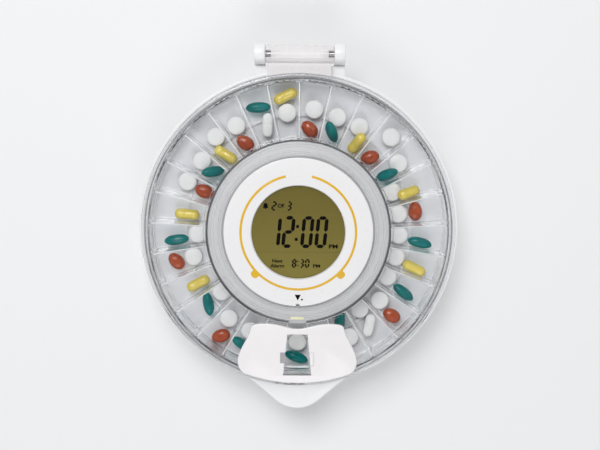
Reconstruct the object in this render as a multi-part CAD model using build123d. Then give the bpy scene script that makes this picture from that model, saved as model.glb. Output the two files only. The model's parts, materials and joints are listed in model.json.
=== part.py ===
from build123d import *
import math
import os

# Automatic pill dispenser: a round white tub with a turning clear tray of 29 pockets
# round a fixed hub with a clock, under a clear lid that hinges at the back.
# Millimetres, +Z up. The origin is on the table, below the tray's axis.
# The hinge is at the back (+Y), the nose with the lock at the front (-Y).

# ---------------------------------------------------------------- plan sizes
rim_radius = 111.0
rim_width = 2.2
rim_flare = 2.6            # how far the rim stands out past the tub's wall
rim_flare_height = 3.0
foot_inset = 9.5           # tub's foot inside the rim
foot_wall = 2.4            # tub's wall where it meets the cover
side_wall = 2.8            # tub's wall where it is upright
side_low = 14.0            # height where the tub's side becomes upright
deck_ledge_width = 2.0
deck_ledge_thick = 1.6
tray_side_room = 1.2       # between the tub's wall and the tray
tray_outer_wall_thick = 1.6
tray_inner_share = 0.5586  # inside of the tray's inner wall over the rim's radius
tray_inner_wall_thick = 2.0
track_room = 17.0          # ridge on the deck that guides the tray, out from its inner wall
track_width = 2.0
track_rise = 0.8           # into the tray's floor
pocket_count = 29
divider_thick = 1.2
hub_room = 12.5            # between the hub and the tray's inner wall
hub_wall = 2.0
dial_room = 10.4           # between the dial and the tray's inner wall
lid_opening_room = 1.8     # lid's opening outside the tray's inner wall
lid_wall = 2.3
lid_edge_round = 1.8
dial_notch_radius = 1.6
index_ring_inner_gap = 1.2
index_ring_outer_gap = 1.4
index_ring_hang = 1.0
index_ring_rise = 1.9
index_flange_rise = 0.8

# -------------------------------------------------------------------- levels
foot_height = 2.0          # how far the feet lift the cover off the table
foot_seat = 1.0
foot_radius = 6.0
foot_circle_inset = 17.0   # feet, in from the cover's edge
foot_bevel = 0.6
cover_thick = 3.0
deck_bottom = 20.5
deck_thick = 2.0
tray_clearance = 0.5       # tray floor above the deck
tray_floor_thick = 2.0
pocket_depth = 21.0
divider_drop = 0.5         # the dividers stop this far below the walls
rim_height = 40.0
lid_ledge_drop = 4.0       # ledge that the lid rests on, below the rim
lid_panel_thick = 2.2
lid_clearance = 1.2        # panel above the tray
dial_top = 50.0
dial_thick = 2.0

# ------------------------------------------------------------------ clearances
fit = 0.1                  # snug fit between fixed pieces
shaft_fit = 0.05           # running fit of a shaft in its bore
gap = 0.3                  # between pieces that move past each other
weld = 0.5                 # how far a joined piece runs into its neighbour
over = 1.0                 # how far a cut runs past the face it opens

# -------------------------------------------------------------------- hinge
hinge_rise = 1.5           # hinge axis above the rim
hinge_setback = 10.3       # hinge axis behind the rim
knuckle_radius = 7.0
knuckle_width = 7.6
hinge_span = 62.0          # over both knuckles
barrel_radius = 6.5
pin_radius = 2.0
pin_grip = 7.0             # how far a pin reaches into the barrel
pin_inset = 1.5            # its outer end in from the knuckle's face
barrel_notch = 3.6
bracket_stand = 2.6        # how far the bracket stands out past the rim
bracket_root = 6.0
bracket_base = 27.0
arm_thick = 4.2
arm_lift = 0.9             # arm's underside above the hinge axis
arm_inset = 1.6            # arm's sides in from the barrel's ends
arm_root = 8.0

# --------------------------------------------------------------- nose and lock
nose_half_width = 35.0
nose_tip_radius = 23.0
nose_top = 41.0
nose_bottom = 11.0
nose_wall = 2.4
nose_taper = 8.0
nose_sink = 1.0            # its root inside the rim's outline
nose_root_depth = 14.0
latch_room = 1.5           # round the latch and the cam, in the tub's wall
lock_height = 26.0
lock_face_setback = 3.0
lock_recess_radius = 10.4
lock_pad_radius = 13.0
lock_pad_depth = 6.0
barrel_flange_radius = 9.6
barrel_flange_thick = 1.2
lock_barrel_radius = 8.4
lock_core_radius = 5.0
lock_core_proud = 0.3
cam_front_gap = 0.4        # its front face inside the lid's outline
keyway_width = 1.3
keyway_height = 5.6
keyway_depth = 7.0
cam_top_gap = 1.3          # under the lid's wall when it stands upright
cam_half_width = 2.0
cam_hub_radius = 3.6
cam_thick = 2.0
cam_screw_head_radius = 2.4
cam_screw_head_thick = 0.9
cam_screw_radius = 1.25
cam_screw_length = 6.0
latch_grip = 2.4           # how far the finger reaches over the latch's foot
latch_foot_length = 6.4
latch_leg_thick = 3.4
latch_foot_thick = 2.2
latch_root_side = 2.0
latch_root_height = 6.0
latch_slab_room = 3.0

# ------------------------------------------------------------------ gear drive
ring_gear_rim = 4.0        # from the tray's inner wall to the teeth's pitch line
ring_teeth = 58            # two teeth for each pocket
drive_teeth = 20
gear_backlash = 0.35
flank_points = 5           # along each side of a tooth
pressure_angle = 20.0
ring_gear_width = 6.0
drive_gear_width = 5.0
drive_bearing = 60.0       # compass of the drive gear, degrees from +X
drive_shaft_radius = 2.0
gear_face_gap = 0.6
gear_room = 1.0
gear_root_depth = 1.25     # in modules
motor_radius = 13.0
motor_height = 8.4
motor_offset = 8.0         # output shaft off the motor's centre
motor_shaft_depth = 5.0
bracket_plate_thick = 1.5
bracket_setback = 12.0
bracket_leg_spread = 27.0
bracket_leg_thick = 3.0
bracket_leg_width = 14.0

# ------------------------------------------------------------------ electronics
lens_face = 19.0           # dial's face round the lens
lens_thick = 1.4
lens_ledge = 1.0
lcd_margin = 2.4           # display's edge past the lens
lcd_thick = 2.4
carrier_wall = 4.0
board_room = 4.5           # round the board, in the hub
board_thick = 1.6
board_depth = 6.4          # board's top face below the dial plate
board_post_count = 4
board_post_inset = 3.5
board_post_radius = 2.4
chip_count = 5
chip_largest = 10.0
chip_step = 1.2
chip_tall = 1.8
chip_circle = 25.0
chip_first_bearing = 215.0
chip_spread = 32.0
buzzer_radius = 6.2
buzzer_height = 5.0
buzzer_hole_radius = 1.2
buzzer_x = -22.0
buzzer_y = 20.0
tilt_can_radius = 2.6
tilt_can_length = 9.0
tilt_can_x = -26.0
tilt_can_y = 2.0
index_switch_width = 10.0
index_switch_depth = 5.0
index_switch_height = 5.0
index_switch_bearing = -60.0
ring_line_inset = 11.9     # yellow line, in from the dial's edge
ring_line_width = 1.9
ring_line_gap = 13.0       # half of the break at the top, degrees
ring_pad_inset = 10.3
ring_pad_size = 5.6
ring_pad_bearing = 45.5    # each side of the front
inlay_depth = 0.3
pointer_half = 2.1
pointer_length = 4.0
pointer_tip_inset = 4.2    # from the dial's front edge
pointer_dot_radius = 0.6
pointer_dot_x = 2.9

# ------------------------------------------------------------ batteries, buttons
cell_radius = 7.1
cell_length = 49.0
cell_nub_radius = 2.7
cell_nub_length = 1.3
cell_count = 4
cell_pitch = 14.8
cell_floor_gap = 0.3
bay_centre_y = 36.0
bay_wall = 1.6
contact_thick = 0.5
contact_size = 9.2
contact_spring_radius = 2.2
contact_room = 1.9
door_thick = 1.6
door_travel = 8.0
door_tongue = 1.2
door_tongue_thick = 0.7
door_skin = 1.1            # what is left of the cover over the door's recess
door_grip_count = 4
door_grip_pitch = 3.0
door_grip_half = 9.0
door_grip_cut = 0.6
door_edge = 1.2            # round the bay on every side
button_count = 4
button_pitch = 13.0
button_row_y = -34.0
button_radius = 4.0
button_flange = 1.2
button_flange_thick = 1.0
button_proud = 1.0         # how far a button stands out of the cover
button_travel = 0.8
button_stem = 1.0          # above its flange
button_bevel = 0.5
button_board_thick = 1.6
button_switch_height = 2.2
button_switch_size = 6.0
button_plunger_height = 0.6
button_plunger_radius = 1.7
board_end_room = 4.0       # board past the end buttons
button_board_width = 12.0
board_boss_radius = 3.0

# ------------------------------------------------------------------- fasteners
rib_count = 4
rib_width = 8.0
rib_inner_reach = 4.5      # rib inside the cover screws
deck_screw_inset = 5.3
cover_screw_inset = 6.0
wire_hole_radius = 5.0
wire_hole_y = -14.0
screw_radius = 1.5
screw_head_radius = 3.0
screw_head_thick = 1.6
screw_length = 9.0         # depth of the hole
screw_spare = 1.5          # hole deeper than the screw reaches
screw_head_sink = 0.2
cross_width = 0.8          # cross recess in a head
cross_depth = 0.8
cross_share = 1.1          # its length over the head's radius

# ------------------------------------------------------------------- window plate
plate_thick = 1.8
plate_inset = 2.2          # its outer edge in from the lid's edge
plate_half_width = 41.6
plate_lobe_x = 22.5
plate_shoulder_inset = 8.6
plate_side_inset = 17.2    # its widest place, in from the lid's edge
plate_corner_inset = 6.0
plate_lobe_gap = 0.1       # out from the lid's opening
plate_shoulder_gap = 5.4
plate_waist_gap = 3.8
window_inner_gap = 7.5
window_outer_inset = 7.7   # in from the lid's edge
window_inner_half = 7.1
window_outer_half = 9.9
window_notch_half = 11.9
window_notch_low_inset = 15.1
window_notch_high_inset = 24.0
window_notch_floor = 0.8
window_frame_wall = 1.0
lip_height = 1.0
lip_width = 1.6

# ------------------------------------------------------------------------ pills
# sizes over the pocket's length
tablet_radius_share = 0.165
tablet_thick_share = 0.108
tablet_round_share = 0.031
capsule_radius_share = 0.098
capsule_length_share = 0.454
softgel_long_share = 0.35
softgel_wide_share = 0.252
softgel_thick_share = 0.206
softgel_flat_share = 0.015 # left of its side between the two roundings
caplet_length_share = 0.438
caplet_width_share = 0.19
caplet_thick_share = 0.129
caplet_round_share = 0.041
pill_lift = 0.05
pill_gap = 0.1

# -------------------------------------------------------------- worked-out values
tub_foot_radius = rim_radius - foot_inset
shell_radius = rim_radius - rim_flare
rim_inner = rim_radius - rim_width
lid_radius = rim_inner - gap
lid_inner = lid_radius - lid_wall
shell_inner = shell_radius - side_wall
foot_inner = tub_foot_radius - foot_wall
lid_ledge_height = rim_height - lid_ledge_drop
rim_low = lid_ledge_height - rim_flare_height
tray_radius = shell_inner - tray_side_room
tray_inner_radius = rim_radius * tray_inner_share
hub_radius = tray_inner_radius - hub_room
dial_radius = tray_inner_radius - dial_room
lens_radius = dial_radius - lens_face
lcd_radius = lens_radius + lcd_margin
lid_opening_radius = tray_inner_radius + lid_opening_room
deck_radius = shell_inner - gap
deck_screw_circle = deck_radius - deck_screw_inset
deck_ledge = deck_radius - deck_ledge_width
cover_radius = foot_inner - fit
cover_screw_circle = cover_radius - cover_screw_inset
rib_inner_radius = cover_screw_circle - rib_inner_reach
foot_circle = cover_radius - foot_circle_inset
cover_bottom = foot_height
cover_top = cover_bottom + cover_thick
deck_top = deck_bottom + deck_thick
tray_bottom = deck_top + tray_clearance
pocket_floor = tray_bottom + tray_floor_thick
tray_top = pocket_floor + pocket_depth
track_inner_radius = tray_inner_radius + track_room
track_outer_radius = track_inner_radius + track_width
track_top = tray_bottom + track_rise
lid_under = tray_top + lid_clearance
lid_top_height = lid_under + lid_panel_thick
skirt_bottom = lid_ledge_height + gap
pocket_inner = tray_inner_radius + tray_inner_wall_thick
pocket_outer = tray_radius - tray_outer_wall_thick
pocket_length = pocket_outer - pocket_inner
pitch_angle = 360.0 / pocket_count
dial_bottom = dial_top - dial_thick
hinge_height = rim_height + hinge_rise
hinge_y = rim_radius + hinge_setback
body_reach = hinge_y + knuckle_radius
barrel_half = hinge_span / 2 - knuckle_width - gap
ring_pitch_radius = tray_inner_radius - ring_gear_rim
gear_module = 2 * ring_pitch_radius / ring_teeth
drive_pitch_radius = gear_module * drive_teeth / 2
drive_distance = ring_pitch_radius - drive_pitch_radius
ring_gear_bottom = tray_bottom
drive_gear_bottom = ring_gear_bottom + gear_face_gap
drive_gear_top = drive_gear_bottom + drive_gear_width
bracket_low = drive_gear_top + gear_face_gap
bracket_high = bracket_low + bracket_plate_thick
board_radius = hub_radius - hub_wall - board_room
board_post_circle = board_radius - board_post_inset
ring_line_radius = dial_radius - ring_line_inset
ring_pad_radius = dial_radius - ring_pad_inset
pointer_tip_y = pointer_tip_inset - dial_radius
pointer_base_y = pointer_tip_y + pointer_length
board_top = dial_bottom - board_depth
board_bottom = board_top - board_thick
lens_bottom = dial_top - lens_thick
bay_length = cell_length + cell_nub_length + 2 * contact_room
bay_half_x = (cell_count - 1) * cell_pitch / 2 + cell_radius + fit
bay_half_y = bay_length / 2
cell_axis_z = cover_top + cell_floor_gap + cell_radius
door_recess_top = cover_top - door_skin
door_bottom = cover_bottom + fit
door_top = door_bottom + door_thick
door_half_x = bay_half_x + door_edge
door_half_y = bay_half_y + door_edge
button_bottom = cover_bottom - button_proud
button_top = cover_top + button_flange_thick + button_stem
switch_bottom = button_top + button_travel + gap
button_board_bottom = switch_bottom + button_switch_height
button_board_top = button_board_bottom + button_board_thick
button_board_half = button_count * button_pitch / 2 + board_end_room
board_boss_x = button_board_half - board_boss_radius - weld
screw_head_seat = deck_top - screw_head_thick - screw_head_sink
lock_face_y = -body_reach + lock_face_setback
cam_reach = skirt_bottom - cam_top_gap - lock_height
latch_foot_x = latch_grip - cam_reach
latch_outer_x = latch_foot_x - latch_foot_length
latch_inner_x = latch_outer_x + latch_leg_thick
cam_front_y = cam_front_gap - lid_radius
cam_back_y = cam_front_y + cam_thick
latch_foot_top = lock_height - cam_half_width - gap
latch_foot_bottom = latch_foot_top - latch_foot_thick
plate_inner_y = -lid_opening_radius - plate_lobe_gap
plate_shoulder_y = -lid_opening_radius - plate_shoulder_gap
plate_waist_y = -lid_opening_radius - plate_waist_gap
plate_side_y = plate_side_inset - lid_radius
window_inner_y = -lid_opening_radius - window_inner_gap
window_outer_y = window_outer_inset - lid_radius
window_notch_low_y = window_notch_low_inset - lid_radius
window_notch_high_y = window_notch_high_inset - lid_radius
tablet_radius = tablet_radius_share * pocket_length
tablet_thick = tablet_thick_share * pocket_length
capsule_radius = capsule_radius_share * pocket_length
capsule_length = capsule_length_share * pocket_length
softgel_long = softgel_long_share * pocket_length
softgel_wide = softgel_wide_share * pocket_length
softgel_thick = softgel_thick_share * pocket_length
caplet_length = caplet_length_share * pocket_length
caplet_width = caplet_width_share * pocket_length
caplet_thick = caplet_thick_share * pocket_length
drive_x = drive_distance * math.cos(math.radians(drive_bearing))
drive_y = drive_distance * math.sin(math.radians(drive_bearing))


# --------------------------------------------------------------------- helpers
def block(x0, x1, y0, y1, z0, z1):
    centre = Pos((x0 + x1) / 2, (y0 + y1) / 2, (z0 + z1) / 2)
    return centre * Box(abs(x1 - x0), abs(y1 - y0), abs(z1 - z0))


def disc(radius, bottom, top):
    return Pos(0, 0, (bottom + top) / 2) * Cylinder(radius, top - bottom)


def ring(inner, outer, bottom, top):
    return disc(outer, bottom, top) - disc(inner, bottom - over, top + over)


def rod_z(radius, x, y, bottom, top):
    return Pos(x, y, 0) * disc(radius, bottom, top)


def rod_y(radius, x, z, y0, y1):
    return Pos(x, (y0 + y1) / 2, z) * Rot(90, 0, 0) * Cylinder(radius, abs(y1 - y0))


def rod_x(radius, y, z, x0, x1):
    return Pos((x0 + x1) / 2, y, z) * Rot(0, 90, 0) * Cylinder(radius, abs(x1 - x0))


def turned(points):
    """Solid of revolution about the tray's axis from (radius, height) corners."""
    corners = [(radius, 0, height) for radius, height in points]
    return revolve(make_face(Polyline(*corners, close=True)), Axis.Z)


def prism(points, bottom, top):
    """Upright solid on an outline of straight runs."""
    face = make_face(Polyline(*[(x, y) for x, y in points], close=True))
    return Pos(0, 0, bottom) * extrude(face, top - bottom)


def polar(angle, radius):
    turn = math.radians(angle)
    return radius * math.cos(turn), radius * math.sin(turn)


def at(angle, shape):
    return Rot(0, 0, angle) * shape


def solids_of(shapes):
    """One compound of separate solids, for pieces that share a node."""
    found = []
    for shape in shapes:
        found += shape.solids()
    return Compound(children=found)


def save(node, shape):
    export_step(shape, "parts/" + node + ".step")


def rib_angles():
    return [45 + 360 / rib_count * i for i in range(rib_count)]


# ------------------------------------------------------------------ tub and base
def base_shell():
    outer = [
        Line((foot_inner, 0, cover_bottom), (tub_foot_radius, 0, cover_bottom)),
        TangentArc((shell_radius, 0, side_low), (tub_foot_radius, 0, cover_bottom), tangent=(0, 0, -1)),
        Line((shell_radius, 0, side_low), (shell_radius, 0, rim_low)),
        Line((shell_radius, 0, rim_low), (rim_radius, 0, lid_ledge_height)),
        Line((rim_radius, 0, lid_ledge_height), (rim_radius, 0, rim_height)),
        Line((rim_radius, 0, rim_height), (rim_inner, 0, rim_height)),
    ]
    inner_corners = [
        (rim_inner, rim_height),
        (rim_inner, lid_ledge_height),
        (shell_inner, lid_ledge_height),
        (shell_inner, deck_bottom),
        (deck_ledge, deck_bottom),
        (deck_ledge, deck_bottom - deck_ledge_thick),
        (shell_inner, deck_bottom - deck_ledge_thick - deck_ledge_width),
        (shell_inner, side_low),
        (foot_inner, cover_top + gap),
        (foot_inner, cover_bottom),
    ]
    corners = [(radius, 0, height) for radius, height in inner_corners]
    inner = [Line(corners[i], corners[i + 1]) for i in range(len(corners) - 1)]
    wall = revolve(make_face(outer + inner), Axis.Z)
    rib = block(rib_inner_radius, shell_inner + weld, -rib_width / 2, rib_width / 2, cover_top, deck_bottom)
    rib -= rod_z(screw_radius, deck_screw_circle, 0, deck_bottom - screw_length, deck_bottom + over)
    rib -= rod_z(screw_radius, cover_screw_circle, 0, cover_top - over, cover_top + screw_length)
    for angle in rib_angles():
        wall += at(angle, rib)
    # the wall opens behind the nose, where the latch and the cam are
    wall -= block(latch_outer_x - latch_room, cam_hub_radius + latch_room, -rim_inner, -shell_inner + over,
                  latch_foot_bottom - gap, lid_ledge_height + over)
    wall -= rod_y(lock_barrel_radius + fit, 0, lock_height, -rim_radius - over, cam_front_y + fit)
    return wall


def tub_blank():
    """The tub as a plain solid, for the pieces that close on its outside."""
    top = hinge_height + knuckle_radius
    return turned([(0, 0), (shell_radius, 0), (shell_radius, rim_low), (rim_radius, lid_ledge_height),
                   (rim_radius, top), (0, top)])


def nose_solid(offset, bottom, top):
    half = nose_half_width - offset
    tip_radius = nose_tip_radius - offset
    tip_centre = -(body_reach - nose_tip_radius)
    root_y = -math.sqrt(rim_radius ** 2 - nose_half_width ** 2) + nose_sink
    run = math.hypot(half, root_y - tip_centre)
    to_root = math.atan2(root_y - tip_centre, half)
    turn = to_root - math.acos(tip_radius / run)
    touch = (tip_radius * math.cos(turn), tip_centre + tip_radius * math.sin(turn))
    back = root_y + nose_root_depth
    edges = [
        Line((-half, back), (-half, root_y)),
        Line((-half, root_y), (-touch[0], touch[1])),
        ThreePointArc((-touch[0], touch[1]), (0, tip_centre - tip_radius), touch),
        Line(touch, (half, root_y)),
        Line((half, root_y), (half, back)),
        Line((half, back), (-half, back)),
    ]
    face = make_face(edges)
    return Pos(0, 0, top) * extrude(face, bottom - top, taper=nose_taper)


def nose_housing():
    whole = nose_solid(0, nose_bottom, nose_top)
    shell = whole - nose_solid(nose_wall, nose_bottom + nose_wall, nose_top - nose_wall)
    pad = rod_y(lock_pad_radius, 0, lock_height, -body_reach + nose_wall / 2, lock_face_y + lock_pad_depth)
    shell += pad & whole
    shell -= rod_y(lock_recess_radius, 0, lock_height, -body_reach - over, lock_face_y)
    shell -= rod_y(lock_barrel_radius + fit, 0, lock_height, -body_reach - over, -shell_radius)
    # it closes on the tub's side and under its rim
    return shell - tub_blank()


def hinge_bracket():
    half = hinge_span / 2
    body = block(-half, half, rim_radius - bracket_root, rim_radius + bracket_stand,
                 bracket_base, rim_height)
    for side in (-1, 1):
        outer = side * half
        inner = side * (half - knuckle_width)
        body += rod_x(knuckle_radius, hinge_y, hinge_height, inner, outer)
        body += block(inner, outer, rim_radius, hinge_y, hinge_height - knuckle_radius, rim_height)
        body -= rod_x(pin_radius, hinge_y, hinge_height, inner - side * over, outer + side * over)
    relief = rod_x(barrel_radius + gap, hinge_y, hinge_height, -(half - knuckle_width), half - knuckle_width)
    body -= relief
    return body - tub_blank()


def hinge_pins():
    pins = []
    for side in (-1, 1):
        pins.append(rod_x(pin_radius, hinge_y, hinge_height,
                          side * (barrel_half - pin_grip), side * (hinge_span / 2 - pin_inset)))
    return solids_of(pins)


def bottom_cover():
    plate = disc(cover_radius, cover_bottom, cover_top)
    for angle in rib_angles():
        x, y = polar(angle, foot_circle)
        plate -= rod_z(foot_radius, x, y, cover_bottom - over, cover_bottom + foot_seat)
        x, y = polar(angle, cover_screw_circle)
        plate -= rod_z(screw_radius + fit, x, y, cover_bottom - over, cover_top + over)
        plate -= rod_z(screw_head_radius + fit, x, y, cover_bottom - over, cover_bottom + screw_head_thick)
    # recess that the battery door slides in, with a groove along each side for its tongues
    low_y = bay_centre_y - door_half_y - door_travel - gap
    high_y = bay_centre_y + door_half_y + gap
    plate -= block(-door_half_x - gap, door_half_x + gap, low_y, high_y, cover_bottom - over, door_recess_top)
    reach = door_half_x + door_tongue + gap
    tongue_low = door_top - door_tongue_thick - gap
    plate -= block(-reach, reach, low_y, high_y, tongue_low, door_recess_top)
    plate -= block(-bay_half_x, bay_half_x, bay_centre_y - bay_half_y, bay_centre_y + bay_half_y,
                   door_recess_top - over, cover_top + over)
    for x in button_places():
        plate -= rod_z(button_radius + gap, x, button_row_y, cover_bottom - over, cover_top + over)
    return plate


def rubber_feet():
    feet = []
    for angle in rib_angles():
        x, y = polar(angle, foot_circle)
        foot = rod_z(foot_radius, x, y, 0, foot_height + foot_seat)
        feet.append(chamfer(foot.faces().sort_by(Axis.Z)[0].edges(), foot_bevel))
    return solids_of(feet)


def cover_screws():
    screws = []
    for angle in rib_angles():
        x, y = polar(angle, cover_screw_circle)
        screw = rod_z(screw_head_radius, x, y, cover_bottom, cover_bottom + screw_head_thick)
        screw += rod_z(screw_radius, x, y, cover_bottom + weld, cover_top + screw_length - screw_spare)
        screw -= screw_slots(x, y, cover_bottom)
        screws.append(screw)
    return solids_of(screws)


def screw_slots(x, y, height):
    """Cross recess in a screw head."""
    half = screw_head_radius * cross_share / 2
    slot = block(-half, half, -cross_width / 2, cross_width / 2, -cross_depth, cross_depth)
    return Pos(x, y, height) * (slot + Rot(0, 0, 90) * slot)


def inner_deck():
    plate = disc(deck_radius, deck_bottom, deck_top)
    plate += ring(track_inner_radius, track_outer_radius, deck_top - weld, track_top)
    for angle in rib_angles():
        x, y = polar(angle, deck_screw_circle)
        plate -= rod_z(screw_radius + fit, x, y, deck_bottom - over, deck_top + over)
        plate -= rod_z(screw_head_radius + fit, x, y, screw_head_seat, deck_top + over)
    for x in (-board_boss_x, board_boss_x):
        plate += rod_z(board_boss_radius, x, button_row_y, button_board_top, deck_bottom + weld)
    # way through for the wires from the batteries and the buttons
    plate -= rod_z(wire_hole_radius, 0, wire_hole_y, deck_bottom - over, deck_top + over)
    return plate


def deck_screws():
    screws = []
    for angle in rib_angles():
        x, y = polar(angle, deck_screw_circle)
        screw = rod_z(screw_head_radius, x, y, screw_head_seat, screw_head_seat + screw_head_thick)
        screw += rod_z(screw_radius, x, y, deck_bottom - screw_length + screw_spare, screw_head_seat + weld)
        screw -= screw_slots(x, y, screw_head_seat + screw_head_thick)
        screws.append(screw)
    return solids_of(screws)


# -------------------------------------------------------------------------- hub
def hub_housing():
    wall = ring(hub_radius - hub_wall, hub_radius, deck_top, dial_bottom)
    # window that the drive gear reaches the tray through
    tip = drive_pitch_radius + gear_module + gear_room
    window = rod_z(tip, drive_x, drive_y, drive_gear_bottom - gear_face_gap, drive_gear_top + gear_face_gap)
    return wall - window


def dial_plate():
    plate = disc(dial_radius, dial_bottom, dial_top)
    plate -= disc(lens_radius + fit, lens_bottom, dial_top + over)
    plate -= disc(lens_radius - lens_ledge, dial_bottom - over, dial_top)
    for angle in board_post_angles():
        x, y = polar(angle, board_post_circle)
        plate += rod_z(board_post_radius, x, y, board_top, dial_bottom + weld)
    # notch in the dial's front edge
    plate -= rod_z(dial_notch_radius, 0, -dial_radius, dial_bottom - over, dial_top + over)
    plate -= dial_ring()
    plate -= dose_pointer()
    return plate


def board_post_angles():
    return [360 / board_post_count * i for i in range(board_post_count)]


def dial_ring():
    """Yellow ring let into the dial, broken at the top, with a pad at each lower side."""
    low = dial_top - inlay_depth
    half = ring_line_width / 2
    line = ring(ring_line_radius - half, ring_line_radius + half, low, dial_top)
    reach = dial_radius * math.tan(math.radians(ring_line_gap))
    line -= prism([(0, 0), (reach, dial_radius), (-reach, dial_radius)], low - over, dial_top + over)
    pad = block(ring_line_radius, ring_pad_radius + ring_pad_size / 2,
                -ring_pad_size / 2, ring_pad_size / 2, low, dial_top)
    for side in (-1, 1):
        line += at(-90 + side * ring_pad_bearing, pad)
    return line


def dose_pointer():
    """Small triangle and dot let into the dial in front of the dose window."""
    low = dial_top - inlay_depth
    mark = prism([(-pointer_half, pointer_base_y), (pointer_half, pointer_base_y), (0, pointer_tip_y)],
                 low, dial_top)
    dot = rod_z(pointer_dot_radius, pointer_dot_x, pointer_tip_y + pointer_dot_radius, low, dial_top)
    return solids_of([mark, dot])


def lcd_lens():
    return disc(lens_radius, lens_bottom, dial_top)


def lcd_panel():
    return disc(lcd_radius, dial_bottom - lcd_thick, dial_bottom)


def lcd_carrier():
    """Ring that presses the display against the dial."""
    return ring(lcd_radius - carrier_wall, lcd_radius, board_top, dial_bottom - lcd_thick)


def main_board():
    return disc(board_radius, board_bottom, board_top)


def board_parts():
    """Controller, driver and smaller parts in an arc under the main board, largest first."""
    boxes = []
    for i in range(chip_count):
        half = (chip_largest - i * chip_step) / 2
        chip = block(chip_circle - half, chip_circle + half, -half, half, board_bottom - chip_tall,
                     board_bottom)
        boxes.append(at(chip_first_bearing + i * chip_spread, chip))
    return solids_of(boxes)


def buzzer():
    low = board_bottom - buzzer_height
    can = rod_z(buzzer_radius, buzzer_x, buzzer_y, low, board_bottom)
    return can - rod_z(buzzer_hole_radius, buzzer_x, buzzer_y, low - over, low + over)


def tilt_switch():
    """Small sealed can that tells that the dispenser has been turned over."""
    height = board_bottom - tilt_can_radius
    return rod_x(tilt_can_radius, tilt_can_y, height, tilt_can_x, tilt_can_x + tilt_can_length)


def index_switch():
    """Switch beside the ring gear that feels each pocket go by."""
    half = index_switch_width / 2
    body = block(hub_radius - weld, hub_radius + index_switch_depth, -half, half,
                 deck_top, deck_top + index_switch_height)
    body -= disc(hub_radius + fit, deck_top - over, deck_top + index_switch_height + over)
    return at(index_switch_bearing, body)


# ------------------------------------------------------------------- gear drive
def involute(angle):
    return math.tan(angle) - angle


def tooth_half_angle(radius, teeth, pitch_radius, thin):
    """Half the angle that a tooth fills at a radius; thin is taken off its thickness."""
    pressure = math.radians(pressure_angle)
    base = pitch_radius * math.cos(pressure)
    here = math.acos(min(1.0, base / max(radius, base)))
    half = math.pi / (2 * teeth) - thin / (2 * pitch_radius)
    return half + involute(pressure) - involute(here)


def tooth_outline(teeth, root, tip, thin):
    """Closed outline of an external gear, or of the hollow that cuts an internal one."""
    pitch_radius = gear_module * teeth / 2
    points = []
    for tooth in range(teeth):
        centre = 2 * math.pi * tooth / teeth
        radii = [root + (tip - root) * i / (flank_points - 1) for i in range(flank_points)]
        for radius in radii:
            turn = centre - tooth_half_angle(radius, teeth, pitch_radius, thin)
            points.append((radius * math.cos(turn), radius * math.sin(turn)))
        for radius in reversed(radii):
            turn = centre + tooth_half_angle(radius, teeth, pitch_radius, thin)
            points.append((radius * math.cos(turn), radius * math.sin(turn)))
    return points


def tray_ring_gear():
    """Internal gear on the tray; a tooth space lies on the line to the drive gear."""
    tips = ring_pitch_radius - gear_module
    roots = ring_pitch_radius + gear_root_depth * gear_module
    top = ring_gear_bottom + ring_gear_width
    blank = disc(tray_inner_radius, ring_gear_bottom, top)
    hollow = prism(tooth_outline(ring_teeth, tips - over, roots, -gear_backlash / 2), ring_gear_bottom - over,
                   top + over)
    hollow += disc(tips, ring_gear_bottom - over, top + over)
    return at(drive_bearing, blank - hollow)


def drive_gear():
    tips = drive_pitch_radius + gear_module
    roots = drive_pitch_radius - gear_root_depth * gear_module
    wheel = prism(tooth_outline(drive_teeth, roots, tips, gear_backlash / 2), drive_gear_bottom,
                  drive_gear_top)
    wheel = at(drive_bearing, wheel)
    wheel -= disc(drive_shaft_radius, drive_gear_bottom - over, drive_gear_top + over)
    return Pos(drive_x, drive_y, 0) * wheel


def drive_shaft():
    return rod_z(drive_shaft_radius, drive_x, drive_y, deck_top + gap, bracket_high + motor_shaft_depth)


def motor_bracket():
    outer_leg = bracket_leg_spread + bracket_leg_thick
    half = bracket_leg_width / 2
    body = block(-half, half, -outer_leg, outer_leg, bracket_low, bracket_high)
    for side in (-1, 1):
        body += block(-half, half, side * bracket_leg_spread, side * outer_leg, deck_top, bracket_high)
    body = at(drive_bearing, Pos(drive_distance - bracket_setback, 0, 0) * body)
    body &= disc(hub_radius - hub_wall - gap, 0, dial_top)
    return body - rod_z(drive_shaft_radius + gear_room, drive_x, drive_y, bracket_low - over,
                        bracket_high + over)


def gear_motor():
    x, y = polar(drive_bearing, drive_distance - motor_offset)
    body = rod_z(motor_radius, x, y, bracket_high, bracket_high + motor_height)
    return body - rod_z(drive_shaft_radius + shaft_fit, drive_x, drive_y, bracket_high - over,
                        bracket_high + motor_shaft_depth + gap)


# ------------------------------------------------------------------------- tray
def tray_floor():
    groove = ring(track_inner_radius - gap, track_outer_radius + gap, tray_bottom - over, track_top + gap)
    return ring(tray_inner_radius, tray_radius, tray_bottom, pocket_floor) - groove


def tray_outer_wall():
    return ring(pocket_outer, tray_radius, pocket_floor, tray_top)


def tray_inner_wall():
    return ring(tray_inner_radius, pocket_inner, pocket_floor, tray_top)


def tray_dividers():
    """One divider after each pocket; the first pocket lies at the front."""
    plate = block(pocket_inner - over, pocket_outer + over, -divider_thick / 2, divider_thick / 2,
                  pocket_floor, tray_top - divider_drop)
    plate &= ring(pocket_inner, pocket_outer, pocket_floor, tray_top)
    return solids_of([at(pocket_angle(i + 0.5), plate) for i in range(pocket_count)])


def pocket_angle(index):
    return -90 + index * pitch_angle


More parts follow.
